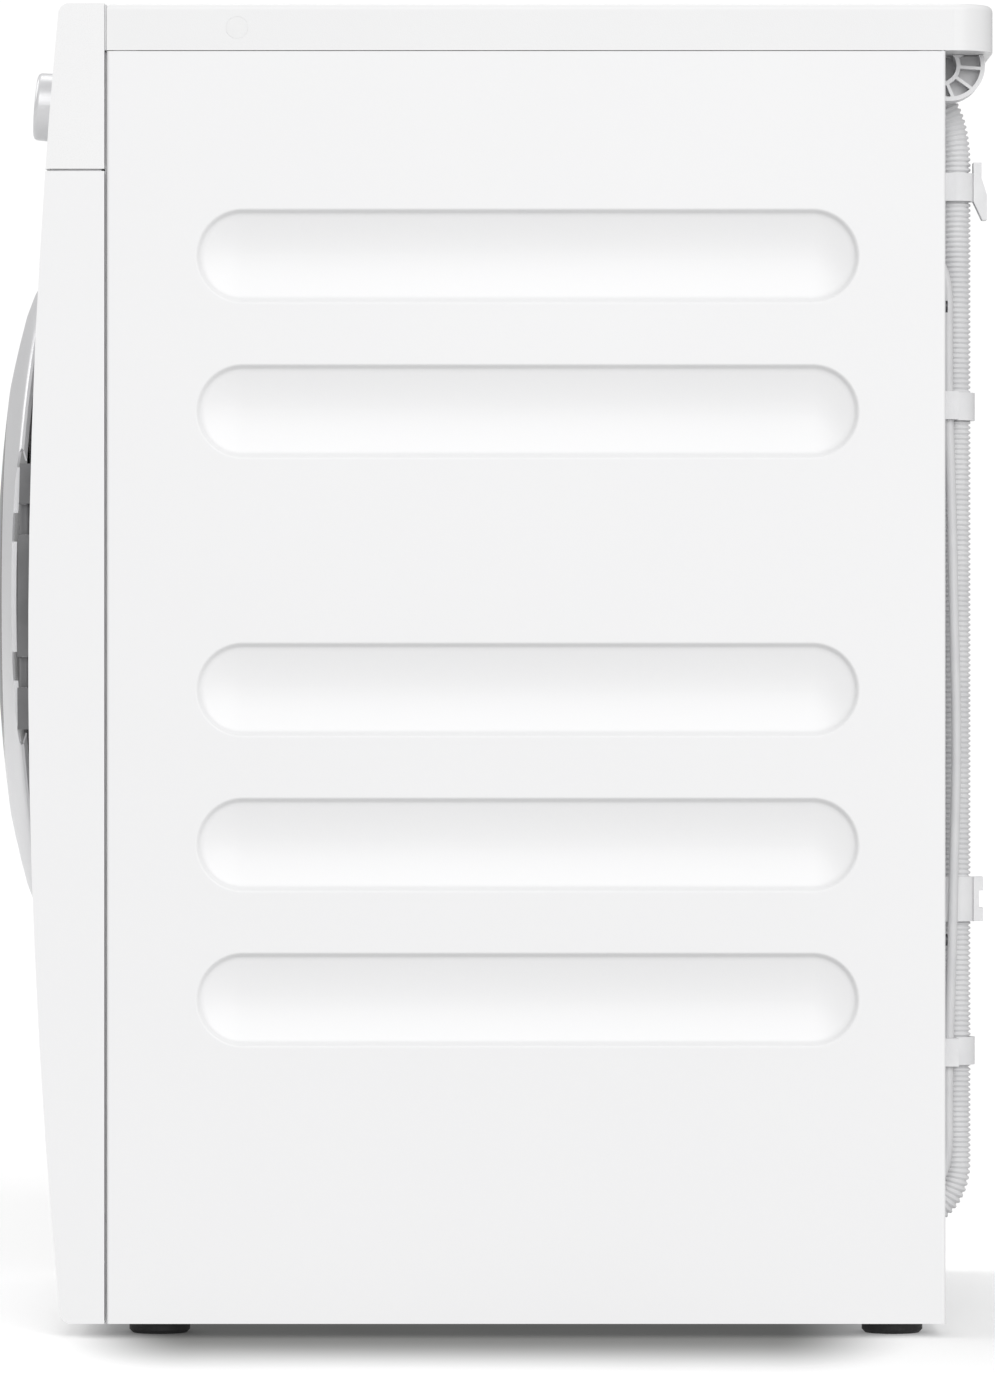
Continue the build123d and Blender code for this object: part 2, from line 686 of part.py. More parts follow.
# Lint filter: a framed mesh cassette in its pocket under the throat, drawn upwards by its top bar.
mesh_columns = 5
mesh_depth = 6.0
mesh_bar = 4.0
mesh_border = 8.0
with BuildPart() as lint_filter:
    with BuildSketch(Plane.XY.offset(filter_low)):
        with Locations((0, (filter_front + filter_back) / 2)):
            Rectangle(2 * filter_half, filter_back - filter_front)
    extrude(amount=filter_top - filter_low)
    with BuildSketch(front_plane(filter_front)):
        with Locations((0, (filter_low + filter_top) / 2)):
            with GridLocations(2 * filter_half / mesh_columns, 1, mesh_columns, 1):
                Rectangle(2 * filter_half / mesh_columns - mesh_bar, filter_tall - 2 * mesh_border)
    extrude(amount=-mesh_depth, mode=Mode.SUBTRACT)
save(lint_filter, "lint_filter")

# Door: domed ring and lens outside, a pan inside, flattened along the hinge side,
# with a finger notch in the ring's free edge.
door_axis = Axis((0, 0, door_centre_height), (0, 1, 0))
lens_edge_y = -315.7
ring_edge_y = -288.5
ring_bulge_radius = 196.0
ring_bulge_y = -304.0
shell_wall = 4.0
rim_depth = 5.5
pan_radius = 218.0
pan_wall = 3.0
pan_front = ring_edge_y + rim_depth - seat_gap
pan_back = dish_floor - lip_height - seat_gap
pan_bowl_radius = 178.0
pan_bowl_back = -243.5
bowl_draft = 12.0
hollow_reach = 20.0
grip_width = 29.0
grip_height = 84.0
grip_corner = 7.0


def door_plane():
    """Half plane through the door's axis: local x is the radius and local y is depth."""
    return Plane(origin=(0, 0, door_centre_height), x_dir=(0, 0, 1), z_dir=(-1, 0, 0))


with BuildPart() as door_ring:
    with BuildSketch(door_plane()):
        with BuildLine():
            ring_inner = lens_radius + seat_gap
            bulge = (ring_bulge_radius, ring_bulge_y)
            outer_arc = ThreePointArc((ring_inner, lens_edge_y), bulge, (door_radius, ring_edge_y))
            rim = Polyline(
                outer_arc @ 1,
                (door_radius, ring_edge_y + rim_depth),
                (door_radius - shell_wall, ring_edge_y + rim_depth),
                (door_radius - shell_wall, ring_edge_y + shell_wall / 2),
            )
            Polyline(
                rim @ 1,
                (ring_bulge_radius - shell_wall / 2, ring_bulge_y + shell_wall),
                (ring_inner, lens_edge_y + shell_wall),
                outer_arc @ 0,
            )
        make_face()
    revolve(axis=door_axis)
    with BuildSketch(front_plane(0)):
        with Locations((hinge_chord + door_radius / 2, door_centre_height)):
            Rectangle(door_radius, 2 * door_radius)
        with Locations((-door_radius, door_centre_height)):
            RectangleRounded(2 * grip_width, grip_height, grip_corner)
    extrude(amount=-door_apex, mode=Mode.SUBTRACT)
save(door_ring, "door_ring")

lens_sag = lens_edge_y - door_apex
dome_radius = (lens_radius**2 + lens_sag**2) / (2 * lens_sag)
with BuildPart() as door_lens:
    with BuildSketch(door_plane()):
        with BuildLine():
            half_way = lens_radius / 2
            half_sag = dome_radius - sqrt(dome_radius**2 - half_way**2)
            edge = lens_radius
            ThreePointArc((0, door_apex), (half_way, door_apex + half_sag), (edge, lens_edge_y))
            Line((edge, lens_edge_y), (edge, lens_edge_y + shell_wall))
            Polyline(
                (edge, lens_edge_y + shell_wall),
                (half_way, door_apex + half_sag + shell_wall),
                (0, door_apex + shell_wall),
                (0, door_apex),
            )
        make_face()
    revolve(axis=door_axis)
save(door_lens, "door_lens")

with BuildPart() as pan_hollow:
    with BuildSketch(door_plane()):
        with BuildLine():
            Polyline(
                (0, pan_front - hollow_reach),
                (pan_radius - pan_wall, pan_front - hollow_reach),
                (pan_radius - pan_wall, pan_back - pan_wall),
                (pan_bowl_radius, pan_back - pan_wall),
                (pan_bowl_radius - bowl_draft, pan_bowl_back - pan_wall),
                (0, pan_bowl_back - pan_wall),
                close=True,
            )
        make_face()
    revolve(axis=door_axis)
    with BuildSketch(front_plane(0)):
        with Locations((hinge_chord - pan_wall + door_radius / 2, door_centre_height)):
            Rectangle(door_radius, 2 * door_radius)
    extrude(amount=-door_apex, mode=Mode.SUBTRACT)
with BuildPart() as door_pan:
    with BuildSketch(door_plane()):
        with BuildLine():
            Polyline(
                (0, pan_front),
                (pan_radius, pan_front),
                (pan_radius, pan_back),
                (pan_bowl_radius + pan_wall, pan_back),
                (pan_bowl_radius + pan_wall - bowl_draft, pan_bowl_back),
                (0, pan_bowl_back),
                close=True,
            )
        make_face()
    revolve(axis=door_axis)
    with BuildSketch(front_plane(0)):
        with Locations((hinge_chord + door_radius / 2, door_centre_height)):
            Rectangle(door_radius, 2 * door_radius)
    extrude(amount=-door_apex, mode=Mode.SUBTRACT)
    add(pan_hollow.part, mode=Mode.SUBTRACT)
save(door_pan, "door_pan")

# Door hook on the free side, and the catch behind the dish that it drops into.
hook_thickness = 5.0
hook_length = 15.0
hook_half_shank = 2.0
hook_slope = 4.0
hook_barb = 7.0
hook_margin = 3.0
hook_tip = pan_back + hook_length
with BuildPart() as door_hook:
    with BuildSketch(Plane.XY.offset(door_centre_height - hook_height / 2 + hook_margin)):
        with BuildLine():
            Polyline(
                (-hook_radius - hook_half_shank, pan_back),
                (-hook_radius - hook_half_shank, hook_tip),
                (-hook_radius + hook_thickness, hook_tip - hook_slope),
                (-hook_radius + hook_thickness, hook_tip - hook_barb),
                (-hook_radius + hook_half_shank, hook_tip - hook_barb),
                (-hook_radius + hook_half_shank, pan_back),
                close=True,
            )
        make_face()
    extrude(amount=hook_height - 2 * hook_margin)
save(door_hook, "door_hook")

catch_wall = 2.0
with BuildPart() as door_catch:
    with BuildSketch(front_plane(bulkhead_front)):
        with Locations((-hook_radius, door_centre_height)):
            Rectangle(hook_slot + 2 * catch_wall, hook_height + 2 * catch_wall)
    extrude(amount=bulkhead_front - throat_front)
    with BuildSketch(front_plane(bulkhead_front - catch_wall)):
        with Locations((-hook_radius, door_centre_height)):
            Rectangle(hook_slot, hook_height)
    extrude(amount=bulkhead_front - throat_front, mode=Mode.SUBTRACT)
save(door_catch, "door_catch")

# Hinge: a bracket on the bow beside the door's flat, two pins, and the door's two knuckle arms.
hinge_proud = 11.7
bracket_reach = 8.0
flat_gap = 2.5
pin_inset = 6.0
arm_plate = 2.0
hinge_right = hinge_axis_x + bracket_reach
hinge_left = hinge_chord + flat_gap
knuckle_radius = 4.2
knuckle_height = 20.0
knuckle_heights = [door_centre_height + 50.0, door_centre_height - 49.0]
hinge_low = door_centre_height - hinge_height / 2
with BuildPart() as hinge_bracket:
    hinge_side = bow_profile(hinge_low, hinge_low + hinge_height, -hinge_proud, front_back, hinge_left)
    extrude(hinge_side, amount=hinge_right - hinge_left)
    bow_behind = bow_profile(floor_gap, panel_top, 0, front_back, hinge_left)
    extrude(bow_behind, amount=hinge_right - hinge_left, mode=Mode.SUBTRACT)
    for z in knuckle_heights:
        with BuildSketch(front_plane(hinge_axis_y + knuckle_radius + seat_gap)):
            with Locations((hinge_axis_x, z)):
                Rectangle(2 * door_radius, knuckle_height)
        extrude(amount=dish_depth, mode=Mode.SUBTRACT)
    with BuildSketch(Plane.XY.offset(hinge_low + pin_inset)):
        with Locations((hinge_axis_x, hinge_axis_y)):
            Circle(hinge_pin_radius + running_gap / 5)
    extrude(amount=hinge_height, mode=Mode.SUBTRACT)
save(hinge_bracket, "hinge_bracket")

with BuildPart() as hinge_pin:
    with BuildSketch(Plane.XY.offset(hinge_low + pin_inset)):
        with Locations((hinge_axis_x, hinge_axis_y)):
            Circle(hinge_pin_radius)
    extrude(amount=hinge_height - pin_inset - arm_plate)
save(hinge_pin, "hinge_pin")

with BuildPart() as hinge_arms:
    for z in knuckle_heights:
        with BuildSketch(Plane.XY.offset(z - knuckle_height / 2 + seat_gap)):
            with Locations((hinge_axis_x, hinge_axis_y)):
                Circle(knuckle_radius)
            with Locations(((hinge_chord + hinge_axis_x) / 2, hinge_axis_y)):
                Rectangle(hinge_axis_x - hinge_chord, 2 * knuckle_radius - arm_plate)
            with Locations((hinge_axis_x, hinge_axis_y)):
                Circle(hinge_pin_radius + running_gap, mode=Mode.SUBTRACT)
        extrude(amount=knuckle_height - 2 * seat_gap)
        with BuildSketch(Plane.YZ.offset(hinge_chord)):
            with Locations(((hinge_axis_y + pan_back) / 2, z)):
                Rectangle(pan_back - hinge_axis_y, knuckle_height - 2 * seat_gap)
        extrude(amount=arm_plate)
save(hinge_arms, "hinge_arms")

# Drum: rolled shell with a front lip, a slotted rear wall, three lifters and the rear shaft.
lifter_height = 44.0
lifter_base = 80.0
lifter_top = 30.0
slot_count = 12
slot_length = 120.0
slot_width = 14.0
slot_ring = 0.62 * drum_radius
with BuildPart() as drum_shell:
    with BuildSketch(front_plane(drum_back)):
        with Locations((0, door_centre_height)):
            Circle(drum_radius)
            Circle(drum_radius - drum_wall, mode=Mode.SUBTRACT)
    extrude(amount=drum_back - drum_front)
    with BuildSketch(front_plane(drum_front + drum_wall)):
        with Locations((0, door_centre_height)):
            Circle(drum_radius)
            Circle(drum_opening, mode=Mode.SUBTRACT)
    extrude(amount=drum_wall)
save(drum_shell, "drum_shell")

with BuildPart() as drum_rear_wall:
    with BuildSketch(front_plane(drum_back)):
        with Locations((0, door_centre_height)):
            Circle(drum_radius - drum_wall)
            with PolarLocations(slot_ring, slot_count):
                SlotOverall(slot_length, slot_width, mode=Mode.SUBTRACT)
    extrude(amount=drum_wall)
save(drum_rear_wall, "drum_rear_wall")

lifter_seat = sqrt((drum_radius - drum_wall - seat_gap) ** 2 - (lifter_base / 2) ** 2)
with BuildPart() as drum_lifters:
    for turn in (90, 210, 330):
        outward = (cos(radians(turn)), 0, sin(radians(turn)))
        foot_of_lifter = (0, drum_back - 3 * drum_wall, door_centre_height)
        with BuildSketch(Plane(origin=foot_of_lifter, x_dir=outward, z_dir=(0, -1, 0))):
            with BuildLine():
                ThreePointArc(
                    (lifter_seat, -lifter_base / 2),
                    (drum_radius - drum_wall - seat_gap, 0),
                    (lifter_seat, lifter_base / 2),
                )
                crest = lifter_seat - lifter_height
                Polyline(
                    (lifter_seat, lifter_base / 2),
                    (crest, lifter_top / 2),
                    (crest, -lifter_top / 2),
                    (lifter_seat, -lifter_base / 2),
                )
            make_face()
        extrude(amount=drum_back - drum_front - 6 * drum_wall)
save(drum_lifters, "drum_lifters")

hub_radius = 70.0
shaft_back = rear_inner - 5.0
with BuildPart() as drum_shaft:
    with BuildSketch(front_plane(drum_back + hub_thickness)):
        with Locations((0, door_centre_height)):
            Circle(hub_radius)
    extrude(amount=hub_thickness)
    with BuildSketch(front_plane(shaft_back)):
        with Locations((0, door_centre_height)):
            Circle(shaft_radius)
    extrude(amount=shaft_back - drum_back)
save(drum_shaft, "drum_shaft")

# Drum bearing: a three-armed bracket on the rear panel.
bracket_thickness = 24.0
boss_share = 0.32
arm_share = 0.6
with BuildPart() as bearing_bracket:
    with BuildSketch(front_plane(rear_inner)):
        with Locations((0, door_centre_height)):
            with PolarLocations(0, 3, start_angle=30):
                SlotCenterPoint((arm_share / 2 * duct_radius, 0), (arm_share * duct_radius, 0), 2 * shaft_radius)
            Circle(boss_share * duct_radius)
            Circle(shaft_radius + running_gap, mode=Mode.SUBTRACT)
    extrude(amount=bracket_thickness)
save(bearing_bracket, "bearing_bracket")

# Front rollers under the drum, on the bulkhead's axles, with a recessed web inside the tyre.
tyre_thickness = 5.0
web_recess = 4.0
for side, word in [(1, "right"), (-1, "left")]:
    with BuildPart() as roller:
        with BuildSketch(front_plane(roller_front + roller_width)):
            with Locations((side * roller_x, roller_height)):
                Circle(roller_radius)
                Circle(axle_radius + running_gap, mode=Mode.SUBTRACT)
        extrude(amount=roller_width)
        with BuildSketch(front_plane(roller_front)):
            with Locations((side * roller_x, roller_height)):
                Circle(roller_radius - tyre_thickness)
                Circle(2 * axle_radius, mode=Mode.SUBTRACT)
        extrude(amount=-web_recess, mode=Mode.SUBTRACT)
    save(roller, f"drum_roller_{word}")

# Motor with its rotor shaft, belt pulley and process fan, low on the right.
rotor_radius = 6.0
motor_radius = 48.0
motor_gap = 24.0
motor_length = 116.0
motor_front = belt_place + motor_gap
motor_back = motor_front + motor_length
fan_radius = 70.0
fan_gap = 38.0
fan_depth = 30.0
fan_front = motor_back + fan_gap
fan_back = fan_front + fan_depth
fan_plate = 2.0
blade_count = 16
blade_length = 14.0
blade_thickness = 2.5
blade_turn = 35.0
blade_ring = fan_radius - 9.0
pulley_flange = 1.4
pulley_back = belt_place + seat_gap + pulley_flange
pulley_front = belt_place - belt_width - seat_gap - pulley_flange
motor_place = (motor_x, motor_height)
with BuildPart() as motor:
    with BuildSketch(front_plane(motor_back)):
        with Locations(motor_place):
            Circle(motor_radius)
    extrude(amount=motor_back - motor_front)
    with BuildSketch(Plane.XY.offset(tray_floor)):
        with Locations((motor_x, (motor_front + motor_back) / 2)):
            Rectangle(1.5 * motor_radius, 0.8 * (motor_back - motor_front))
    extrude(amount=motor_height - tray_floor)
    with BuildSketch(front_plane(motor_back)):
        with Locations(motor_place):
            Circle(rotor_radius + running_gap)
    extrude(amount=motor_back - motor_front, mode=Mode.SUBTRACT)
save(motor, "motor")

with BuildPart() as rotor_shaft:
    with BuildSketch(front_plane(fan_back + fan_plate)):
        with Locations(motor_place):
            Circle(rotor_radius)
    extrude(amount=fan_back + fan_plate - pulley_front)
    with BuildSketch(front_plane(pulley_back)):
        with Locations(motor_place):
            Circle(motor_pulley_radius)
    extrude(amount=pulley_back - pulley_front)
    for y in (pulley_back, pulley_front + pulley_flange):
        with BuildSketch(front_plane(y)):
            with Locations(motor_place):
                Circle(motor_pulley_radius + belt_thickness)
        extrude(amount=pulley_flange)
save(rotor_shaft, "rotor_shaft")

with BuildPart() as fan_wheel:
    with BuildSketch(front_plane(fan_back)):
        with Locations(motor_place):
            Circle(fan_radius)
    extrude(amount=fan_plate)
    with BuildSketch(front_plane(fan_back)):
        with Locations(motor_place):
            Circle(2 * rotor_radius)
            with PolarLocations(blade_ring, blade_count):
                Rectangle(blade_length, blade_thickness, rotation=blade_turn)
    extrude(amount=fan_depth)
    with BuildSketch(front_plane(fan_back)):
        with Locations(motor_place):
            Circle(rotor_radius)
    extrude(amount=fan_depth, mode=Mode.SUBTRACT)
save(fan_wheel, "fan_wheel")

volute_radius = fan_radius + 10.0
volute_wall = 2.0
volute_gap = 6.0
inlet_radius = 48.0
with BuildPart() as fan_housing:
    with BuildSketch(front_plane(fan_back + volute_gap)):
        with Locations(motor_place):
            Circle(volute_radius + volute_wall)
    extrude(amount=fan_depth + 2 * volute_gap)
    with BuildSketch(Plane.XY.offset(tray_floor)):
        with Locations((motor_x, (fan_front + fan_back) / 2)):
            Rectangle(volute_radius, fan_depth)
    extrude(amount=motor_height - tray_floor)
    with BuildSketch(front_plane(fan_back + volute_gap - volute_wall)):
        with Locations(motor_place):
            Circle(volute_radius)
    extrude(amount=fan_depth + 2 * volute_gap - 2 * volute_wall, mode=Mode.SUBTRACT)
    with BuildSketch(front_plane(fan_front)):
        with Locations(motor_place):
            Circle(inlet_radius)
    extrude(amount=2 * volute_gap, mode=Mode.SUBTRACT)
save(fan_housing, "fan_housing")


# Drive belt: a flat loop round the drum and the motor pulley.
def belt_outline(reach):
    with BuildSketch(front_plane(belt_place)) as outline:
        with Locations((0, door_centre_height)):
            Circle(drum_radius + reach)
        with Locations(motor_place):
            Circle(motor_pulley_radius + reach)
        make_hull()
    return outline.sketch


with BuildPart() as drive_belt:
    extrude(belt_outline(seat_gap + belt_thickness), amount=belt_width)
    extrude(belt_outline(seat_gap), amount=belt_width, mode=Mode.SUBTRACT)
save(drive_belt, "drive_belt")

# Belt tensioner: a sprung arm on a post, with a flat idler pulley under the belt's lower run.
idler_radius = 18.0
idler_pin_radius = 4.0
run_span = sqrt(motor_x**2 + (door_centre_height - motor_height) ** 2)
run_slope = (drum_radius - motor_pulley_radius) / run_span
run_turn = atan2(motor_height - door_centre_height, motor_x) - atan2(sqrt(1 - run_slope**2), run_slope)
belt_out = (cos(run_turn), sin(run_turn))
belt_reach = seat_gap + belt_thickness
run_offset = (drum_radius + motor_pulley_radius) / 2 + belt_reach
idler_offset = run_offset + idler_radius + seat_gap
idler_x = motor_x / 2 + belt_out[0] * idler_offset
idler_height = (motor_height + door_centre_height) / 2 + belt_out[1] * idler_offset
with BuildPart() as idler_pulley:
    with BuildSketch(front_plane(belt_place)):
        with Locations((idler_x, idler_height)):
            Circle(idler_radius)
            Circle(idler_pin_radius + running_gap, mode=Mode.SUBTRACT)
    extrude(amount=belt_width)
save(idler_pulley, "idler_pulley")

with BuildPart() as tension_arm:
    with BuildSketch(front_plane(arm_front + arm_thickness)):
        with BuildLine():
            Line((pivot_x, pivot_height), (idler_x, idler_height))
        trace(line_width=2 * arm_half_width)
        with Locations((pivot_x, pivot_height), (idler_x, idler_height)):
            Circle(arm_half_width)
        with Locations((pivot_x, pivot_height)):
            Circle(axle_radius + running_gap, mode=Mode.SUBTRACT)
    extrude(amount=arm_thickness)
    with BuildSketch(front_plane(arm_front)):
        with Locations((idler_x, idler_height)):
            Circle(idler_pin_radius)
    extrude(amount=belt_width + pin_proud)
save(tension_arm, "tension_arm")

# Heat pump: compressor, two finned blocks, copper pipes and the condensate pump, all on the tray.
compressor_inset = 118.0
compressor_x = compressor_inset - half_width
compressor_y = 165.0
compressor_radius = 62.0
compressor_gap = 27.9
compressor_foot = tray_floor + base_wall
drum_over_compressor = door_centre_height - sqrt(drum_radius**2 - (compressor_x + compressor_radius) ** 2)
compressor_height = drum_over_compressor - compressor_gap - compressor_foot
foot_plate = 130.0
dome_edge = 26.0
with BuildPart() as compressor:
    with BuildSketch(Plane.XY.offset(tray_floor)):
        with Locations((compressor_x, compressor_y)):
            RectangleRounded(foot_plate, foot_plate, dome_edge)
    extrude(amount=base_wall)
    with BuildSketch(Plane.XY.offset(compressor_foot)):
        with Locations((compressor_x, compressor_y)):
            Circle(compressor_radius)
    extrude(amount=compressor_height)
    fillet(compressor.faces().sort_by(Axis.Z)[-1].edges(), dome_edge)
save(compressor, "compressor")

block_inset = 60.0
block_left = block_inset - half_width
block_right = -30.0
block_width = block_right - block_left
block_depth = 96.0
block_gap = 37.0
block_height = roller_height - roller_radius - block_gap - tray_floor
block_border = 12.0
fin_count = 12
fin_slot = 0.6
fin_share = 0.8
evaporator_gap = 8.0
condenser_gap = 14.0
evaporator_front = tray_front + base_wall + evaporator_gap
condenser_front = evaporator_front + block_depth + condenser_gap
for front, word in [(evaporator_front, "evaporator"), (condenser_front, "condenser")]:
    with BuildPart() as block:
        with BuildSketch(Plane.XY.offset(tray_floor)):
            with Locations((block_left + block_width / 2, front + block_depth / 2)):
                Rectangle(block_width, block_depth)
        extrude(amount=block_height)
        fin_pitch = (block_width - block_border) / fin_count
        with BuildSketch(Plane.XY.offset(tray_floor + block_height)):
            with Locations((block_left + block_width / 2, front + block_depth / 2)):
                with GridLocations(fin_pitch, 1, fin_count, 1):
                    Rectangle(fin_pitch * fin_slot, block_depth)
        extrude(amount=-block_height * fin_share, mode=Mode.SUBTRACT)
    save(block, word)

pipe_radius = 5.0
pipe_bend = 16.0
compressor_top = compressor_foot + compressor_height
condenser_back = condenser_front + block_depth
pipe_rise = 24.0
pipe_height = compressor_top + pipe_rise
pipe_inset = 30.0
pipe_end = (block_left + pipe_radius, condenser_back - pipe_inset)
suction_inset = 20.0
suction_rise = 34.0
suction_x = block_right - suction_inset
suction_height = tray_floor + suction_rise
with BuildPart() as refrigerant_pipes:
    with BuildLine() as discharge:
        FilletPolyline(
            (compressor_x, compressor_y, compressor_top),
            (compressor_x, compressor_y, pipe_height),
            (pipe_end[0], pipe_end[1], pipe_height),
            (pipe_end[0], pipe_end[1], tray_floor + block_height),
            radius=pipe_bend,
        )
    with BuildSketch(Plane(origin=discharge.line @ 0, z_dir=discharge.line % 0)):
        Circle(pipe_radius)
    sweep(path=discharge.line)
    with BuildLine() as suction:
        FilletPolyline(
            (compressor_x + compressor_radius, compressor_y, suction_height),
            (suction_x, compressor_y, suction_height),
            (suction_x, condenser_back, suction_height),
            radius=pipe_bend,
        )
    with BuildSketch(Plane(origin=suction.line @ 0, z_dir=suction.line % 0)):
        Circle(pipe_radius)
    sweep(path=suction.line)
save(refrigerant_pipes, "refrigerant_pipes")

hose_low = hose_turn_height - hose_bend
spigot_back = hose_y - hose_bend
pump_depth = 36.0
pump_width = 30.0
pump_corner = 8.0
spigot_length = 12.0
pump_back = spigot_back - spigot_length
with BuildPart() as condensate_pump:
    with BuildSketch(Plane.XY.offset(tray_floor)):
        with Locations((hose_x, pump_back - pump_depth / 2)):
            RectangleRounded(pump_width, pump_depth, pump_corner)
    extrude(amount=hose_low + 2 * hose_radius - tray_floor)
    with BuildSketch(front_plane(spigot_back)):
        with Locations((hose_x, hose_low)):
            Circle(hose_bore - seat_gap)
    extrude(amount=spigot_length)
save(condensate_pump, "condensate_pump")

# Drain hose: ribbed tube from the pump, out through the rear panel, straight up and in again at the top.
rib_depth = 1.5
hose_start = pump_back + 2.0
with BuildLine() as hose_line:
    Line((hose_x, hose_start, hose_low), (hose_x, spigot_back, hose_low))
    bend_share = hose_bend * sin(pi / 4)
    bend_middle = (hose_x, spigot_back + bend_share, hose_turn_height - bend_share)
    ThreePointArc((hose_x, spigot_back, hose_low), bend_middle, (hose_x, hose_y, hose_turn_height))
    Line((hose_x, hose_y, hose_turn_height), (hose_x, hose_y, hose_lean_low))
    lean_half = radians(hose_lean_turn / 2)
    lean_y = hose_y - hose_lean * (1 - cos(lean_half))
    lean_middle = (hose_x, lean_y, hose_lean_low + hose_lean * sin(lean_half))
    ThreePointArc((hose_x, hose_y, hose_lean_low), lean_middle, (hose_x, hose_end_y, hose_end_height))
hose_path = hose_line.wire()
hose_plain = 2 * hose_radius
rib_pitch = (hose_path.length - hose_plain - hose_radius) / rib_count


def hose_plane(distance):
    """Section plane across the hose at a distance along it."""
    share = distance / hose_path.length
    return Plane(origin=hose_path @ share, x_dir=(1, 0, 0), z_dir=hose_path % share)


rib_steps = [(0.0, 0), (0.2, 1), (0.5, 1), (0.7, 0)]
with BuildPart() as drain_hose:
    with BuildSketch(hose_plane(0)):
        Circle(hose_radius - rib_depth)
    for rib in range(rib_count):
        for step, raised in rib_steps:
            with BuildSketch(hose_plane(hose_plain + (rib + step) * rib_pitch)):
                Circle(hose_radius - rib_depth * (1 - raised))
    with BuildSketch(hose_plane(hose_path.length)):
        Circle(hose_radius - rib_depth)
    loft(ruled=True)
    with BuildSketch(hose_plane(0)):
        Circle(hose_bore)
    sweep(path=hose_path, mode=Mode.SUBTRACT)
save(drain_hose, "drain_hose")
print("hose length", hose_path.length)

# Hose guide: a ribbed quarter wheel under the lid's overhang, in front of the hose's upper end.
guide_left = hose_x + hose_hole + 4.7
guide_y = cabinet_back + 4.5
guide_height = lid_bottom - 7.1
guide_rim = 2.8
guide_hub_y = rear_outer - 0.4
guide_hub_radius = 13.1
guide_hub_bore = 10.5
guide_web = 3.0
spoke_width = 2.0
spoke_turns = [27, -4, -36, -68]
guide_plane = Plane.YZ.offset(guide_left)
with BuildPart() as hose_guide:
    with BuildSketch(guide_plane):
        with Locations((guide_y, guide_height)):
            Circle(guide_radius)
    extrude(amount=guide_web)
    with BuildSketch(guide_plane):
        with Locations((guide_y, guide_height)):
            Circle(guide_radius)
            Circle(guide_radius - guide_rim, mode=Mode.SUBTRACT)
        with Locations((guide_hub_y, guide_height)):
            Circle(guide_hub_radius)
        for turn in spoke_turns:
            way = Vector(cos(radians(turn)), sin(radians(turn)))
            hub = Vector(guide_hub_y, guide_height)
            sideways = (guide_hub_y - guide_y) * way.X
            reach = sqrt(guide_radius**2 - (guide_hub_y - guide_y) ** 2 + sideways**2) - sideways
            with BuildLine():
                Line(hub + way * guide_hub_bore, hub + way * (reach - guide_rim / 2))
            trace(line_width=spoke_width)
        with Locations((guide_hub_y, guide_height)):
            Circle(guide_hub_bore, mode=Mode.SUBTRACT)
    extrude(amount=guide_length)
    with BuildSketch(Plane.XY.offset(lid_bottom - seat_gap)):
        with Locations((guide_left + guide_length / 2, guide_y)):
            Rectangle(4 * guide_radius, 4 * guide_radius)
    extrude(amount=2 * guide_radius, mode=Mode.SUBTRACT)
    with BuildSketch(front_plane(rear_outer)):
        with Locations((guide_left + guide_length / 2, guide_height)):
            Rectangle(4 * guide_radius, 4 * guide_radius)
    extrude(amount=4 * guide_radius, mode=Mode.SUBTRACT)
save(hose_guide, "hose_guide")

# Clipped lead: held along the rear edge, bowing a little between its clips, with a gland at each end.
lead_stand = 1.2
lead_y = cabinet_back + lead_radius + lead_stand
clip_drop = 224.6
clip_low = 179.6
clip_heights = [lid_bottom - clip_drop, clip_low]
clip_span = clip_heights[0] - clip_heights[1]
lead_points = [
    (lead_x, lead_y, clip_heights[0] + 96),
    (lead_x + 0.2, lead_y - 0.2, clip_heights[0] + 51),
    (lead_x, lead_y, clip_heights[0]),
    (lead_x + 0.4, lead_y + 2.2, clip_heights[0] - 0.16 * clip_span),
    (lead_x + 0.6, lead_y + 3.6, clip_heights[0] - 0.34 * clip_span),
    (lead_x + 0.4, lead_y + 5.6, clip_heights[0] - 0.52 * clip_span),
    (lead_x + 0.6, lead_y + 3.6, clip_heights[0] - 0.70 * clip_span),
    (lead_x + 0.3, lead_y + 2.0, clip_heights[0] - 0.87 * clip_span),
    (lead_x, lead_y, clip_heights[1]),
    (lead_x + 0.2, lead_y - 0.2, clip_heights[1] - 44),
    (lead_x, lead_y, clip_heights[1] - 86),
]
lead_radii = []
for before, here, after in zip(lead_points, lead_points[1:], lead_points[2:]):
    run_in = Vector(here) - Vector(before)
    run_out = Vector(after) - Vector(here)
    half_turn = radians(run_in.get_angle(run_out)) / 2
    lead_radii.append(0.45 * min(run_in.length, run_out.length) / tan(half_turn))
with BuildPart() as clipped_lead:
    with BuildLine() as lead_line:
        FilletPolyline(*lead_points, radius=lead_radii)
    with BuildSketch(Plane(origin=lead_line.line @ 0, z_dir=lead_line.line % 0)):
        Circle(lead_radius)
    sweep(path=lead_line.line)
save(clipped_lead, "clipped_lead")
lead_length = lead_line.wire().length
print("lead length", lead_length)

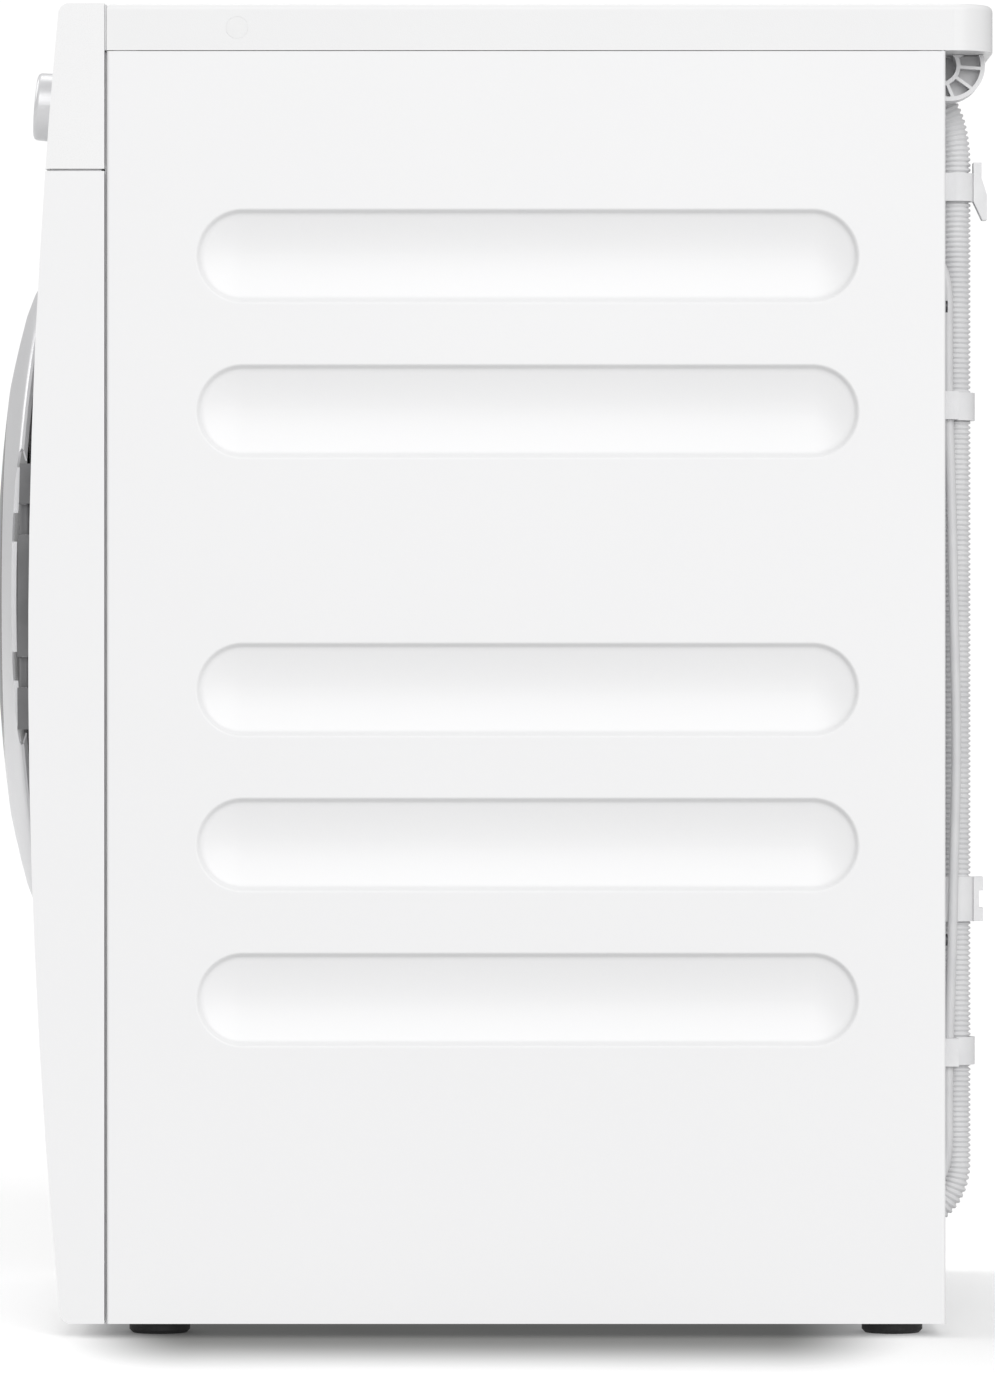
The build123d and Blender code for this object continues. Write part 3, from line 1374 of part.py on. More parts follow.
gland_width = 18.0
gland_height = 22.0
gland_corner = 2.0
gland_wall = 1.8
collar_height = 10.0
with BuildPart() as lead_glands:
    for end, way in [(lead_points[0], 1), (lead_points[-1], -1)]:
        with BuildSketch(Plane.XY.offset(end[2] + way * seat_gap)):
            with Locations((lead_x, (rear_outer + lead_y + 2 * lead_radius) / 2)):
                RectangleRounded(gland_width, lead_y + 2 * lead_radius - rear_outer, gland_corner)
        extrude(amount=way * gland_height)
        with BuildSketch(Plane.XY.offset(end[2] + way * seat_gap)):
            with Locations((lead_x, lead_y)):
                Circle(lead_radius + gland_wall)
                Circle(lead_radius + 2 * seat_gap, mode=Mode.SUBTRACT)
        extrude(amount=-way * collar_height)
save(lead_glands, "lead_glands")

# Clips and cable hooks: moulded blocks on the rear panel, open round the hose and the lead.
clip_height = 18.0
clip_wall = 2.4
lead_gap = 0.8
lead_hold = lead_radius + lead_gap
with BuildPart() as hose_clips:
    for z in clip_heights:
        clip_left = hose_x - hose_hole - clip_wall
        clip_right = lead_x + lead_hold + clip_wall
        with BuildSketch(Plane.XY.offset(z - clip_height / 2)):
            with Locations(((clip_left + clip_right) / 2, (rear_outer + lead_y + 2 * lead_radius) / 2)):
                Rectangle(clip_right - clip_left, lead_y + 2 * lead_radius - rear_outer)
            with Locations((hose_x, hose_y)):
                Circle(hose_hole + clip_wall)
            with Locations((hose_x, hose_y)):
                Circle(hose_hole, mode=Mode.SUBTRACT)
            with Locations((lead_x, lead_y)):
                Circle(lead_hold, mode=Mode.SUBTRACT)
            with Locations((hose_x, rear_outer - hose_radius)):
                Rectangle(4 * hose_radius, 2 * hose_radius, mode=Mode.SUBTRACT)
        extrude(amount=clip_height)

# Each cable hook is a collar round the hose: the upper one carries a tab and a drooping barb,
# the lower one a square block with a notch for a tie.
hook_collars = [(lid_bottom - 83.0, 18.0), (277.5, 28.7)]
hook_root = hose_y + hose_hole + clip_wall / 2
hook_width = 14.0
barb_proud = 30.5
tab_proud = 27.0
block_proud = 28.0
barb_reach = cabinet_back + barb_proud
barb_wall = 3.0
barb_drop = 12.0
barb_slope = 11.0
tab_reach = cabinet_back + tab_proud
tab_rise = 7.0
block_reach = cabinet_back + block_proud
notch_depth = 2.6
notch_half = 5.5
upper_top = hook_collars[0][0] + hook_collars[0][1] / 2
upper_low = hook_collars[0][0] - hook_collars[0][1] / 2
with BuildPart() as hose_holders:
    add(hose_clips.part)
    for z, tall in hook_collars:
        with BuildSketch(Plane.XY.offset(z - tall / 2)):
            with Locations((hose_x, hose_y)):
                Circle(hose_hole + clip_wall)
            with Locations((hose_x, (rear_outer + hose_y) / 2)):
                Rectangle(2 * (hose_hole + clip_wall), hose_y - rear_outer)
            with Locations((hose_x, hose_y)):
                Circle(hose_hole, mode=Mode.SUBTRACT)
            with Locations((hose_x, rear_outer - hose_radius)):
                Rectangle(4 * hose_radius, 2 * hose_radius, mode=Mode.SUBTRACT)
        extrude(amount=tall)
    with BuildSketch(Plane.YZ.offset(hose_x - hook_width / 2)):
        with BuildLine():
            Polyline(
                (hook_root, upper_top + tab_rise),
                (tab_reach, upper_top + tab_rise),
                (tab_reach, upper_top - barb_wall),
                (barb_reach, upper_top - barb_wall - barb_slope),
                (barb_reach, upper_low - barb_drop),
                (barb_reach - barb_wall, upper_low - barb_drop),
                (hook_root, upper_low),
                close=True,
            )
        make_face()
        with Locations(((hook_root + block_reach) / 2, hook_collars[1][0])):
            Rectangle(block_reach - hook_root, hook_collars[1][1])
        with Locations((block_reach - notch_depth / 2, hook_collars[1][0])):
            Rectangle(notch_depth, 2 * notch_half, mode=Mode.SUBTRACT)
    extrude(amount=hook_width)
save(hose_holders, "hose_holders")

# Mains inlet: a recessed three-pin socket in the rear panel.
pin_spacing = 14.0
pin_reach = 8.0
pin_thickness = 2.0
pin_height = 5.0
inlet_wall = 3.5
inlet_floor = 2.0
with BuildPart() as mains_inlet:
    with BuildSketch(front_plane(rear_outer)):
        with Locations((inlet_x, inlet_height)):
            Rectangle(inlet_width - 2 * seat_gap, inlet_tall - 2 * seat_gap)
    extrude(amount=inlet_depth)
    with BuildSketch(front_plane(rear_outer)):
        with Locations((inlet_x, inlet_height)):
            RectangleRounded(inlet_width - 2 * inlet_wall, inlet_tall - 2 * inlet_wall, inlet_wall)
    extrude(amount=inlet_depth - inlet_floor, mode=Mode.SUBTRACT)
    with BuildSketch(front_plane(rear_outer - inlet_depth + inlet_floor + pin_reach)):
        with Locations((inlet_x, inlet_height)):
            with GridLocations(pin_spacing, 1, 3, 1):
                Rectangle(pin_thickness, pin_height)
    extrude(amount=pin_reach)
save(mains_inlet, "mains_inlet")

# Top braces from side to side, and the rear panel's screws through the side flanges.
brace_depth = 14.0
brace_height = 12.0
brace_half = half_width - sheet - seat_gap
with BuildPart() as top_braces:
    for y in (cabinet_front + 4 * sheet, rear_inner - brace_depth - seat_gap):
        with BuildSketch(Plane.YZ.offset(-brace_half)):
            with Locations((y + brace_depth / 2, lid_bottom - seat_gap - brace_height / 2)):
                Rectangle(brace_depth, brace_height)
            with Locations((y + brace_depth / 2, lid_bottom - seat_gap - brace_height / 2 - sheet)):
                Rectangle(brace_depth - 2 * sheet, brace_height, mode=Mode.SUBTRACT)
        extrude(amount=2 * brace_half)
save(top_braces, "top_braces")

screw_radius = 3.8
screw_head = 1.6
screw_heights = [lid_bottom - 163.0, 253.0]
with BuildPart() as rear_screws:
    for side in (1, -1):
        with BuildSketch(front_plane(cabinet_back + screw_head)):
            with Locations(*[(side * (half_width - flange / 2), z) for z in screw_heights]):
                Circle(screw_radius)
        extrude(amount=screw_head)
save(rear_screws, "rear_screws")
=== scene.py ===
import math

import bpy
import bmesh
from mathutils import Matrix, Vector


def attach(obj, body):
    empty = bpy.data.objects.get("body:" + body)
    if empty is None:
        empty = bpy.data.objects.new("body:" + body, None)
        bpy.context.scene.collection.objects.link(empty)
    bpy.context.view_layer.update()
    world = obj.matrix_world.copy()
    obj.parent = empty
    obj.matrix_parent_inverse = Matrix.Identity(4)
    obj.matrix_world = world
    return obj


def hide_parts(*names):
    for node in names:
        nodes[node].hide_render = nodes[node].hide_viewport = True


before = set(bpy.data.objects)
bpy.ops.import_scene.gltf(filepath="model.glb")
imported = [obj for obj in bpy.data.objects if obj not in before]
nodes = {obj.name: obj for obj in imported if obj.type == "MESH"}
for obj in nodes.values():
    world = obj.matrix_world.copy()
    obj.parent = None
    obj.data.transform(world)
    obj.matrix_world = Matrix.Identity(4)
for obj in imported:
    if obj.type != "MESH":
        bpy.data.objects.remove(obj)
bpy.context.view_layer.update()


# Side panels: deep-drawn steel sheet, folded in at the front and rear edges and baked with white enamel.
# Each is stiffened by five long shallow beads, pressed in a die with a tight lip and a dished floor.
def wire(tree, start, out, end, into):
    """Join one node's output to another node's input."""
    tree.links.new(start.outputs[out], end.inputs[into])


def coat_of(name, light, dark, *, rough, spread, grain, bump, patch, metal=0.0, stretch=(1, 1, 1)):
    """A finish with soft patches of tone, a finer grain in its gloss and a low relief."""
    finish = bpy.data.materials.new(name)
    finish.use_nodes = True
    tree = finish.node_tree
    shader = tree.nodes["Principled BSDF"]
    place = tree.nodes.new("ShaderNodeTexCoord")
    turn = tree.nodes.new("ShaderNodeMapping")
    turn.inputs["Scale"].default_value = stretch
    tone = tree.nodes.new("ShaderNodeTexNoise")
    tone.inputs["Scale"].default_value = patch
    tone.inputs["Detail"].default_value = 3
    shades = tree.nodes.new("ShaderNodeValToRGB")
    shades.name = "shades"
    for stop, position, colour in zip(shades.color_ramp.elements, (0.3, 0.7), (dark, light)):
        stop.position = position
        stop.color = (*colour, 1)
    fine = tree.nodes.new("ShaderNodeTexNoise")
    fine.inputs["Scale"].default_value = grain
    fine.inputs["Detail"].default_value = 2
    gloss = tree.nodes.new("ShaderNodeMapRange")
    gloss.inputs["To Min"].default_value = rough - spread
    gloss.inputs["To Max"].default_value = rough + spread
    relief = tree.nodes.new("ShaderNodeBump")
    relief.inputs["Strength"].default_value = bump
    relief.inputs["Distance"].default_value = 0.0004
    wire(tree, place, "Object", turn, "Vector")
    wire(tree, turn, "Vector", tone, "Vector")
    wire(tree, turn, "Vector", fine, "Vector")
    wire(tree, tone, "Fac", shades, "Fac")
    wire(tree, shades, "Color", shader, "Base Color")
    wire(tree, fine, "Fac", gloss, "Value")
    wire(tree, gloss, "Result", shader, "Roughness")
    wire(tree, fine, "Fac", relief, "Height")
    wire(tree, relief, "Normal", shader, "Normal")
    shader.inputs["Metallic"].default_value = metal
    return finish


def tune(finish, socket, value):
    """Set one number or colour on a finish's own shader."""
    finish.node_tree.nodes["Principled BSDF"].inputs[socket].default_value = value


def dress(finish, *names):
    """Give CAD nodes this finish and nothing else."""
    for name in names:
        nodes[name].data.materials.clear()
        nodes[name].data.materials.append(finish)


def start_fresh():
    """Leave edit mode and select nothing, so that an operator only meets the new piece."""
    if bpy.context.object and bpy.context.object.mode == "EDIT":
        bpy.ops.object.mode_set(mode="OBJECT")
    bpy.ops.object.select_all(action="DESELECT")


def take(test, mode="VERT"):
    """Select only the edit-mode elements that pass a test."""
    bpy.ops.mesh.select_mode(type=mode)
    bpy.ops.mesh.select_all(action="DESELECT")
    mesh = bmesh.from_edit_mesh(bpy.context.object.data)
    for item in {"VERT": mesh.verts, "EDGE": mesh.edges, "FACE": mesh.faces}[mode]:
        if test(item):
            item.select_set(True)
    mesh.select_flush_mode()
    bmesh.update_edit_mesh(bpy.context.object.data)


def face_out(piece, way):
    """Make a sheet's faces agree, with most of its area facing the given way."""
    bpy.ops.mesh.select_all(action="SELECT")
    bpy.ops.mesh.normals_make_consistent(inside=False)
    if sum(f.normal.dot(way) * f.calc_area() for f in bmesh.from_edit_mesh(piece.data).faces) < 0:
        bpy.ops.mesh.flip_normals()


def thicken(piece, thickness, offset=-1):
    """Give a sheet its wall, inwards from the drawn face unless told otherwise."""
    wall = piece.modifiers.new("wall", "SOLIDIFY")
    wall.thickness = thickness
    wall.offset = offset


def settle(piece, name, finish, angle=40.0):
    """Name a finished piece, apply its modifiers and its place, and shade it."""
    bpy.ops.object.mode_set(mode="OBJECT")
    bpy.ops.object.select_all(action="DESELECT")
    piece.select_set(True)
    bpy.context.view_layer.objects.active = piece
    for modifier in list(piece.modifiers):
        bpy.ops.object.modifier_apply(modifier=modifier.name)
    bpy.ops.object.transform_apply(location=True, rotation=True, scale=True)
    bpy.ops.object.shade_smooth_by_angle(angle=math.radians(angle))
    piece.name = name
    piece.data.name = name
    piece.data.materials.clear()
    piece.data.materials.append(finish)


enamel = coat_of(
    "white_enamel", (0.88, 0.88, 0.885), (0.868, 0.868, 0.873),
    rough=0.36, spread=0.04, grain=900, bump=0.05, patch=4,
)
tune(enamel, "Coat Weight", 0.12)
tune(enamel, "Coat Roughness", 0.2)
sheet = 0.0012
panel_face = 0.298
panel_front, panel_back = -0.2395, 0.295
panel_low, panel_high = 0.0085, 0.8195
fold_radius, fold_turns = 0.0016, (22.5, 45, 67.5, 90)
guard = 0.0006
flange = 0.014
bead_middle = 0.0287
bead_long, bead_tall = 0.4235, 0.061
bead_depth = 0.007
bead_heights = [0.689, 0.590, 0.4126, 0.3138, 0.215]
bead_points = 62
bead_band = 0.035
dish_radius = 0.0996
lip_steps = [
    (0.0002, 0.0),
    (0.0006, 0.0001),
    (0.0011, 0.0004),
    (0.0016, 0.0009),
    (0.0021, 0.0016),
    (0.0027, 0.0024),
    (0.0033, 0.0030),
]
dish_insets = [0.0042, 0.0062, 0.0090, 0.0124, 0.0162, 0.0202, 0.0244, 0.0284]
touch, slack = 1e-6, 1e-4
half_run = (bead_long - bead_tall) / 2
bead_profile = lip_steps + [
    (inset, bead_depth - (bead_tall / 2 - inset) ** 2 / (2 * dish_radius)) for inset in dish_insets
]
for side, word in [(1, "right"), (-1, "left")]:
    outward = Vector((side, 0, 0))
    start_fresh()
    bpy.ops.mesh.primitive_plane_add(size=1, rotation=(0, side * math.radians(90), 0))
    panel = bpy.context.object
    panel.scale = (panel_high - panel_low, panel_back - panel_front - 2 * fold_radius - 2 * guard, 1)
    panel.location = (side * panel_face, (panel_back + panel_front) / 2, (panel_high + panel_low) / 2)
    bpy.ops.object.transform_apply(location=True, rotation=True, scale=True)
    bpy.ops.object.mode_set(mode="EDIT")
    bpy.ops.mesh.delete(type="ONLY_FACE")
    for z in bead_heights:
        bpy.ops.mesh.select_all(action="DESELECT")
        bpy.ops.mesh.primitive_circle_add(
            vertices=bead_points,
            radius=bead_tall / 2,
            location=(side * panel_face, bead_middle, z),
            rotation=(0, math.radians(90), 0),
        )
        for end in (1, -1):
            take(lambda v: abs(v.co.z - z) < bead_tall / 2 + touch and end * (v.co.y - bead_middle) > 0
                 and abs(v.co.y - bead_middle) < bead_tall / 2 + touch)
            bpy.ops.transform.translate(value=(0, end * half_run, 0))
    bpy.ops.mesh.select_all(action="SELECT")
    bpy.ops.mesh.fill(use_beauty=True)
    face_out(panel, outward)
    for z in bead_heights:
        take(lambda e: e.is_boundary and all(abs(v.co.z - z) < bead_band for v in e.verts)
             and all(abs(v.co.y - bead_middle) < bead_long / 2 + slack for v in e.verts), "EDGE")
        bpy.ops.mesh.edge_face_add()
        bpy.ops.mesh.select_mode(type="FACE")
        at = Vector((0, 0))
        for inset, depth in bead_profile:
            bpy.ops.mesh.inset(thickness=inset - at.x, depth=-(depth - at.y))
            at = Vector((inset, depth))
    face_out(panel, outward)
    for end, edge in [(-1, panel_front), (1, panel_back)]:
        flat_end = edge - end * (fold_radius + guard)
        take(lambda v: abs(v.co.y - flat_end) < touch)
        bpy.ops.mesh.select_mode(type="EDGE")
        bpy.ops.mesh.extrude_region_move(TRANSFORM_OT_translate={"value": (0, end * guard, 0)})
        last = Vector((0, 0))
        for turn in fold_turns:
            ahead = fold_radius * math.sin(math.radians(turn))
            inward = fold_radius * (1 - math.cos(math.radians(turn)))
            move = (-side * (inward - last.y), end * (ahead - last.x), 0)
            bpy.ops.mesh.extrude_region_move(TRANSFORM_OT_translate={"value": move})
            last = Vector((ahead, inward))
        move = (-side * (flange - fold_radius), 0, 0)
        bpy.ops.mesh.extrude_region_move(TRANSFORM_OT_translate={"value": move})
    face_out(panel, outward)
    thicken(panel, sheet)
    settle(panel, f"panel_{word}", enamel)
    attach(panel, "cabinet")
    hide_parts(f"side_panel_{word}")

# Lid: a moulded white pan that overhangs the back, with screws at its sides under round push-in caps.
# The moulding has a fine spark-eroded texture that breaks up its gloss.
lid_white = coat_of(
    "lid_moulding", (0.87, 0.87, 0.872), (0.852, 0.852, 0.856),
    rough=0.36, spread=0.06, grain=1400, bump=0.12, patch=5,
)
cap_white = coat_of(
    "cap_moulding", (0.85, 0.85, 0.85), (0.82, 0.82, 0.825),
    rough=0.3, spread=0.05, grain=1200, bump=0.08, patch=60,
)
dress(lid_white, "lid")
dress(cap_white, "lid_screw_caps")


# Seam strips: grey strips set behind the joints of the lid, the fascia and the front panel, in place of the
# dark inside of each joint.
# Their grey is painted shade, and they lie below the surface where the recess shades them a little more, so
# each joint reads as a fine grey line.
def block(size, place, turn=0.0):
    """A block about a point, turned about its upright axis, as the start of a piece."""
    start_fresh()
    bpy.ops.mesh.primitive_cube_add(size=1)
    piece = bpy.context.object
    piece.scale = size
    piece.location = place
    piece.rotation_euler = (0, 0, turn)
    bpy.ops.object.transform_apply(location=True, rotation=True, scale=True)
    return piece


def soften(piece, width, steps):
    """Round a piece's edges."""
    edge = piece.modifiers.new("edge", "BEVEL")
    edge.width = width
    edge.segments = steps


# The strips' grey colour is painted shade for the inside of the joints.
seam_shade_sheet = coat_of(
    "seam_painted_shade", (0.7, 0.7, 0.705), (0.62, 0.62, 0.63),
    rough=0.85, spread=0.06, grain=1500, bump=0.4, patch=80,
)
seam_edge = 0.0002
seam_corners = [
    ("lid_seam", (-0.2970, -0.2409, 0.8200), (0.2970, -0.2396, 0.8492)),
    ("fascia_seam", (-0.2955, -0.2755, 0.7432), (0.2955, -0.2430, 0.7444)),
    ("front_seam_right", (0.2840, -0.2408, 0.0100), (0.2935, -0.2397, 0.8195)),
    ("front_seam_left", (-0.2935, -0.2408, 0.0100), (-0.2840, -0.2397, 0.8195)),
]
for name, near, far in seam_corners:
    strip = block([b - a for a, b in zip(near, far)], [(a + b) / 2 for a, b in zip(near, far)])
    soften(strip, seam_edge, steps=2)
    settle(strip, name, seam_shade_sheet)
    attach(strip, "cabinet")

# Rear panel and braces: hot-dip galvanised sheet, left bare, with the large crystals that zinc sets in.
# Black zinc-plated screws hold it through the side panels' folds.
galvanised = coat_of(
    "galvanised_sheet", (0.6, 0.605, 0.61), (0.555, 0.56, 0.57),
    rough=0.36, spread=0.08, grain=260, bump=0.06, patch=30, metal=0.85,
)
zinc_tree = galvanised.node_tree
crystals = zinc_tree.nodes.new("ShaderNodeTexVoronoi")
crystals.inputs["Scale"].default_value = 120
crystals.inputs["Randomness"].default_value = 1
wire(zinc_tree, zinc_tree.nodes["Texture Coordinate"], "Object", crystals, "Vector")
wire(zinc_tree, crystals, "Color", zinc_tree.nodes["shades"], "Fac")
black_zinc = coat_of(
    "black_zinc", (0.09, 0.09, 0.095), (0.05, 0.05, 0.055),
    rough=0.4, spread=0.08, grain=700, bump=0.05, patch=120, metal=0.7,
)
dress(galvanised, "rear_panel", "top_braces", "bearing_bracket")
dress(black_zinc, "rear_screws")

# Base tray: a deep moulding of pale filled plastic that carries the heat pump and stands on four screw feet.
# The feet are moulded rubber on steel studs, scuffed where they meet the floor.
pale = coat_of(
    "pale_moulding", (0.66, 0.67, 0.68), (0.58, 0.59, 0.6),
    rough=0.5, spread=0.08, grain=900, bump=0.15, patch=14,
)
rubber = coat_of(
    "foot_rubber", (0.022, 0.022, 0.023), (0.012, 0.012, 0.013),
    rough=0.62, spread=0.12, grain=500, bump=0.3, patch=60,
)
dress(pale, "base_tray")
dress(rubber, "foot_front_left", "foot_front_right", "foot_rear_left", "foot_rear_right")

# Heat pump: a black painted compressor, two finned aluminium blocks, drawn copper pipes and a small pump.
# All of it sits on the tray behind the base flap.
black_paint = coat_of(
    "compressor_paint", (0.03, 0.03, 0.032), (0.018, 0.018, 0.02),
    rough=0.4, spread=0.1, grain=350, bump=0.2, patch=25,
)
fin_metal = coat_of(
    "fin_aluminium", (0.8, 0.81, 0.82), (0.62, 0.63, 0.65),
    rough=0.34, spread=0.1, grain=400, bump=0.2, patch=60, metal=1.0, stretch=(8, 1, 1),
)
copper = coat_of(
    "drawn_copper", (0.78, 0.38, 0.22), (0.5, 0.22, 0.12),
    rough=0.3, spread=0.1, grain=300, bump=0.1, patch=45, metal=1.0,
)
dark_grey = coat_of(
    "dark_moulding", (0.06, 0.061, 0.064), (0.04, 0.041, 0.044),
    rough=0.45, spread=0.08, grain=900, bump=0.2, patch=30,
)
dress(black_paint, "compressor")
dress(fin_metal, "evaporator", "condenser")
dress(copper, "refrigerant_pipes")
dress(dark_grey, "condensate_pump")

# Drum and drive: rolled stainless sheet with moulded lifters, turned by a rubber belt from the motor.
# The shell is polished along its roll and runs on rollers with soft grey tyres. The motor's shaft also
# carries a dark moulded fan in a pale housing.
stainless = coat_of(
    "rolled_stainless", (0.74, 0.74, 0.75), (0.6, 0.6, 0.61),
    rough=0.24, spread=0.07, grain=500, bump=0.12, patch=20, metal=1.0, stretch=(1, 12, 1),
)
bright_steel = coat_of(
    "turned_steel", (0.7, 0.7, 0.72), (0.56, 0.56, 0.58),
    rough=0.26, spread=0.07, grain=900, bump=0.08, patch=90, metal=1.0,
)
tyre = coat_of(
    "roller_tyre", (0.3, 0.3, 0.3), (0.24, 0.24, 0.245),
    rough=0.6, spread=0.1, grain=700, bump=0.2, patch=60,
)
dress(stainless, "drum_shell", "drum_rear_wall")
dress(pale, "drum_lifters", "fan_housing")
dress(bright_steel, "drum_shaft", "rotor_shaft", "tension_arm")
dress(galvanised, "motor")
dress(rubber, "drive_belt")
dress(tyre, "drum_roller_right", "drum_roller_left")
dress(dark_grey, "idler_pulley", "fan_wheel")

# Drum seal: pressed wool felt glued round the bulkhead's collar.
# Its loose fibres give it a rough, soft surface with no gloss.
felt = coat_of(
    "wool_felt", (0.42, 0.41, 0.39), (0.3, 0.29, 0.27),
    rough=0.92, spread=0.05, grain=1600, bump=0.8, patch=160,
)
tune(felt, "Sheen Weight", 0.4)
dress(felt, "drum_felt_seal")

# Front: the bowed panel, enamelled like the sides, over a pale bulkhead with the loading throat.
# The throat has a soft grey door seal, and holds the dark catch and lint filter. The base flap is a white
# moulding over the heat pump that turns on two pivots at its lower edge.
flap_white = coat_of(
    "flap_moulding", (0.86, 0.86, 0.865), (0.84, 0.84, 0.846),
    rough=0.38, spread=0.06, grain=1300, bump=0.12, patch=7,
)
dress(enamel, "front_panel")
dress(pale, "front_bulkhead")
dress(tyre, "door_seal")
dress(dark_grey, "lint_filter", "door_catch")
dress(flap_white, "base_flap")

# Door: a silver-painted moulded ring round a smoked lens, on a grey inner pan, with dark knuckles on a pin.
# Lens and ring are turned from their sections. The ring's sides come forward with the bow of the front,
# its hinge side is cut flat with a folded edge, and a rounded notch opposite gives the fingers a grip.
silver = coat_of(
    "silver_paint", (0.8, 0.8, 0.81), (0.75, 0.75, 0.765),
    rough=0.34, spread=0.06, grain=2200, bump=0.1, patch=12, metal=0.25,
)
smoke = coat_of(
    "smoked_lens", (0.05, 0.052, 0.056), (0.036, 0.038, 0.042),
    rough=0.07, spread=0.02, grain=60, bump=0.01, patch=8,
)
tune(smoke, "Transmission Weight", 0.45)
tune(smoke, "IOR", 1.49)
hinge_grey = coat_of(
    "hinge_moulding", (0.2, 0.2, 0.205), (0.15, 0.15, 0.155),
    rough=0.42, spread=0.08, grain=900, bump=0.15, patch=40,
)
pan_grey = coat_of(
    "pan_moulding", (0.3, 0.3, 0.305), (0.282, 0.282, 0.288),
    rough=0.46, spread=0.08, grain=1000, bump=0.15, patch=20,
)
dress(pan_grey, "door_pan")
dress(hinge_grey, "hinge_bracket", "hinge_arms")
dress(bright_steel, "hinge_pin", "door_hook")
door_height = 0.473
speck, weld, turning_steps = 0.00001, 0.00005, 144


def turned(section):
    """A surface of revolution on the door's axis, from a section of (radius, depth) points."""
    start_fresh()
    bpy.ops.mesh.primitive_plane_add(size=speck, location=(*section[0], door_height))
    piece = bpy.context.object
    bpy.ops.object.transform_apply(location=True, rotation=True, scale=True)
    bpy.ops.object.mode_set(mode="EDIT")
    bpy.ops.mesh.select_mode(type="VERT")
    bpy.ops.mesh.select_all(action="SELECT")
    bpy.ops.mesh.merge(type="CENTER")
    for a, b in zip(section, section[1:]):
        bpy.ops.mesh.extrude_region_move(TRANSFORM_OT_translate={"value": (b[0] - a[0], b[1] - a[1], 0)})
    bpy.ops.mesh.select_all(action="SELECT")
    bpy.ops.mesh.spin(
        steps=turning_steps, angle=math.radians(360), center=(0, 0, door_height), axis=(0, 1, 0)
    )
    bpy.ops.mesh.select_all(action="SELECT")
    bpy.ops.mesh.remove_doubles(threshold=weld)
    face_out(piece, Vector((0, -1, 0)))
    return piece


lens_radius, lens_apex, lens_edge = 0.152, -0.3265, -0.3157
lens_wall = 0.002
lens_section = [
    (lens_radius * t, lens_apex + (lens_edge - lens_apex) * t * t) for t in (0, 0.2, 0.4, 0.6, 0.8, 0.9, 0.97)
]
lens_section += [(0.1508, lens_edge - 0.0001), (0.1517, lens_edge + 0.0006), (0.1518, lens_edge + 0.0025)]
lens = turned(lens_section)
thicken(lens, lens_wall)
settle(lens, "smoked_lens", smoke, angle=35)
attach(lens, "door")
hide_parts("door_lens")
ring_wall = 0.0014
ring_outer = 0.2247
side_lift = 0.0145
rim_fold, fold_half = 0.0032, 0.088
ring_section = [
    (0.1523, -0.3157),
    (0.1640, -0.3131),
    (0.1790, -0.3092),
    (0.1960, -0.3040),
    (0.2080, -0.2990),
    (0.2165, -0.2945),
    (0.2215, -0.2912),
    (0.2238, -0.2894),
    (0.2247, -0.2878),
    (0.2242, -0.2862),
    (0.2215, -0.2852),
]
hinge_flat = 0.2030
notch_x, notch_y = -0.225, -0.3
notch_half_height, notch_depth, notch_through, notch_corner = 0.042, 0.029, 0.1, 0.007
ring = turned(ring_section)
bpy.ops.mesh.bisect(plane_co=(hinge_flat, 0, 0), plane_no=(1, 0, 0), clear_outer=True)
for v in bmesh.from_edit_mesh(ring.data).verts:
    up = (v.co.z - door_height) / ring_outer
    out = (math.hypot(v.co.x, v.co.z - door_height) - lens_radius) / (ring_outer - lens_radius)
    v.co.y -= side_lift * (1 - up * up) * max(0.0, min(1.0, out)) ** 3
bmesh.update_edit_mesh(ring.data)
take(lambda e: e.is_boundary and all(
    abs(v.co.x - hinge_flat) < touch and abs(v.co.z - door_height) < fold_half for v in e.verts), "EDGE")
bpy.ops.mesh.extrude_region_move(TRANSFORM_OT_translate={"value": (0, rim_fold, 0)})
bpy.ops.object.mode_set(mode="OBJECT")
thicken(ring, ring_wall)
bpy.ops.object.modifier_apply(modifier="wall")
cutter = block((2 * notch_depth, notch_through, 2 * notch_half_height), (notch_x, notch_y, door_height))
bpy.ops.object.mode_set(mode="EDIT")
take(lambda e: abs(e.verts[0].co.y - e.verts[1].co.y) > notch_through / 2, "EDGE")
bpy.ops.mesh.bevel(offset=notch_corner, segments=6, affect="EDGES")
bpy.ops.object.mode_set(mode="OBJECT")
notch = ring.modifiers.new("notch", "BOOLEAN")
notch.object = cutter
notch.solver = "FAST"
bpy.context.view_layer.objects.active = ring
bpy.ops.object.modifier_apply(modifier="notch")
bpy.data.objects.remove(cutter)
settle(ring, "silver_ring", silver, angle=35)
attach(ring, "door")
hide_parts("door_ring")

# Fascia and controls: a glossy white moulding with a silver program knob, two push buttons and a window.
# Dial marks and the knob's pointer are dark grey print, the digits shine through the tinted window, and the
# circuit board behind it is green laminate.
fascia_white = coat_of(
    "fascia_moulding", (0.88, 0.88, 0.882), (0.865, 0.865, 0.868),
    rough=0.28, spread=0.05, grain=1500, bump=0.08, patch=6,
)
window_black = coat_of(
    "window_tint", (0.02, 0.021, 0.023), (0.014, 0.015, 0.017),
    rough=0.1, spread=0.03, grain=80, bump=0.01, patch=20,
)
board_green = coat_of(
    "board_laminate", (0.05, 0.2, 0.09), (0.02, 0.1, 0.04),
    rough=0.4, spread=0.1, grain=300, bump=0.2, patch=220,
)
mark_grey = coat_of(
    "mark_print", (0.16, 0.16, 0.17), (0.12, 0.12, 0.13),
    rough=0.5, spread=0.06, grain=900, bump=0.05, patch=90,
)
glow = coat_of(
    "digit_light", (0.75, 0.86, 0.9), (0.68, 0.8, 0.85),
    rough=0.5, spread=0.05, grain=400, bump=0.0, patch=60,
)
tune(glow, "Emission Color", (0.7, 0.85, 0.95, 1))
tune(glow, "Emission Strength", 0.5)
dress(fascia_white, "fascia")
dress(silver, "program_knob", "power_button", "start_button")
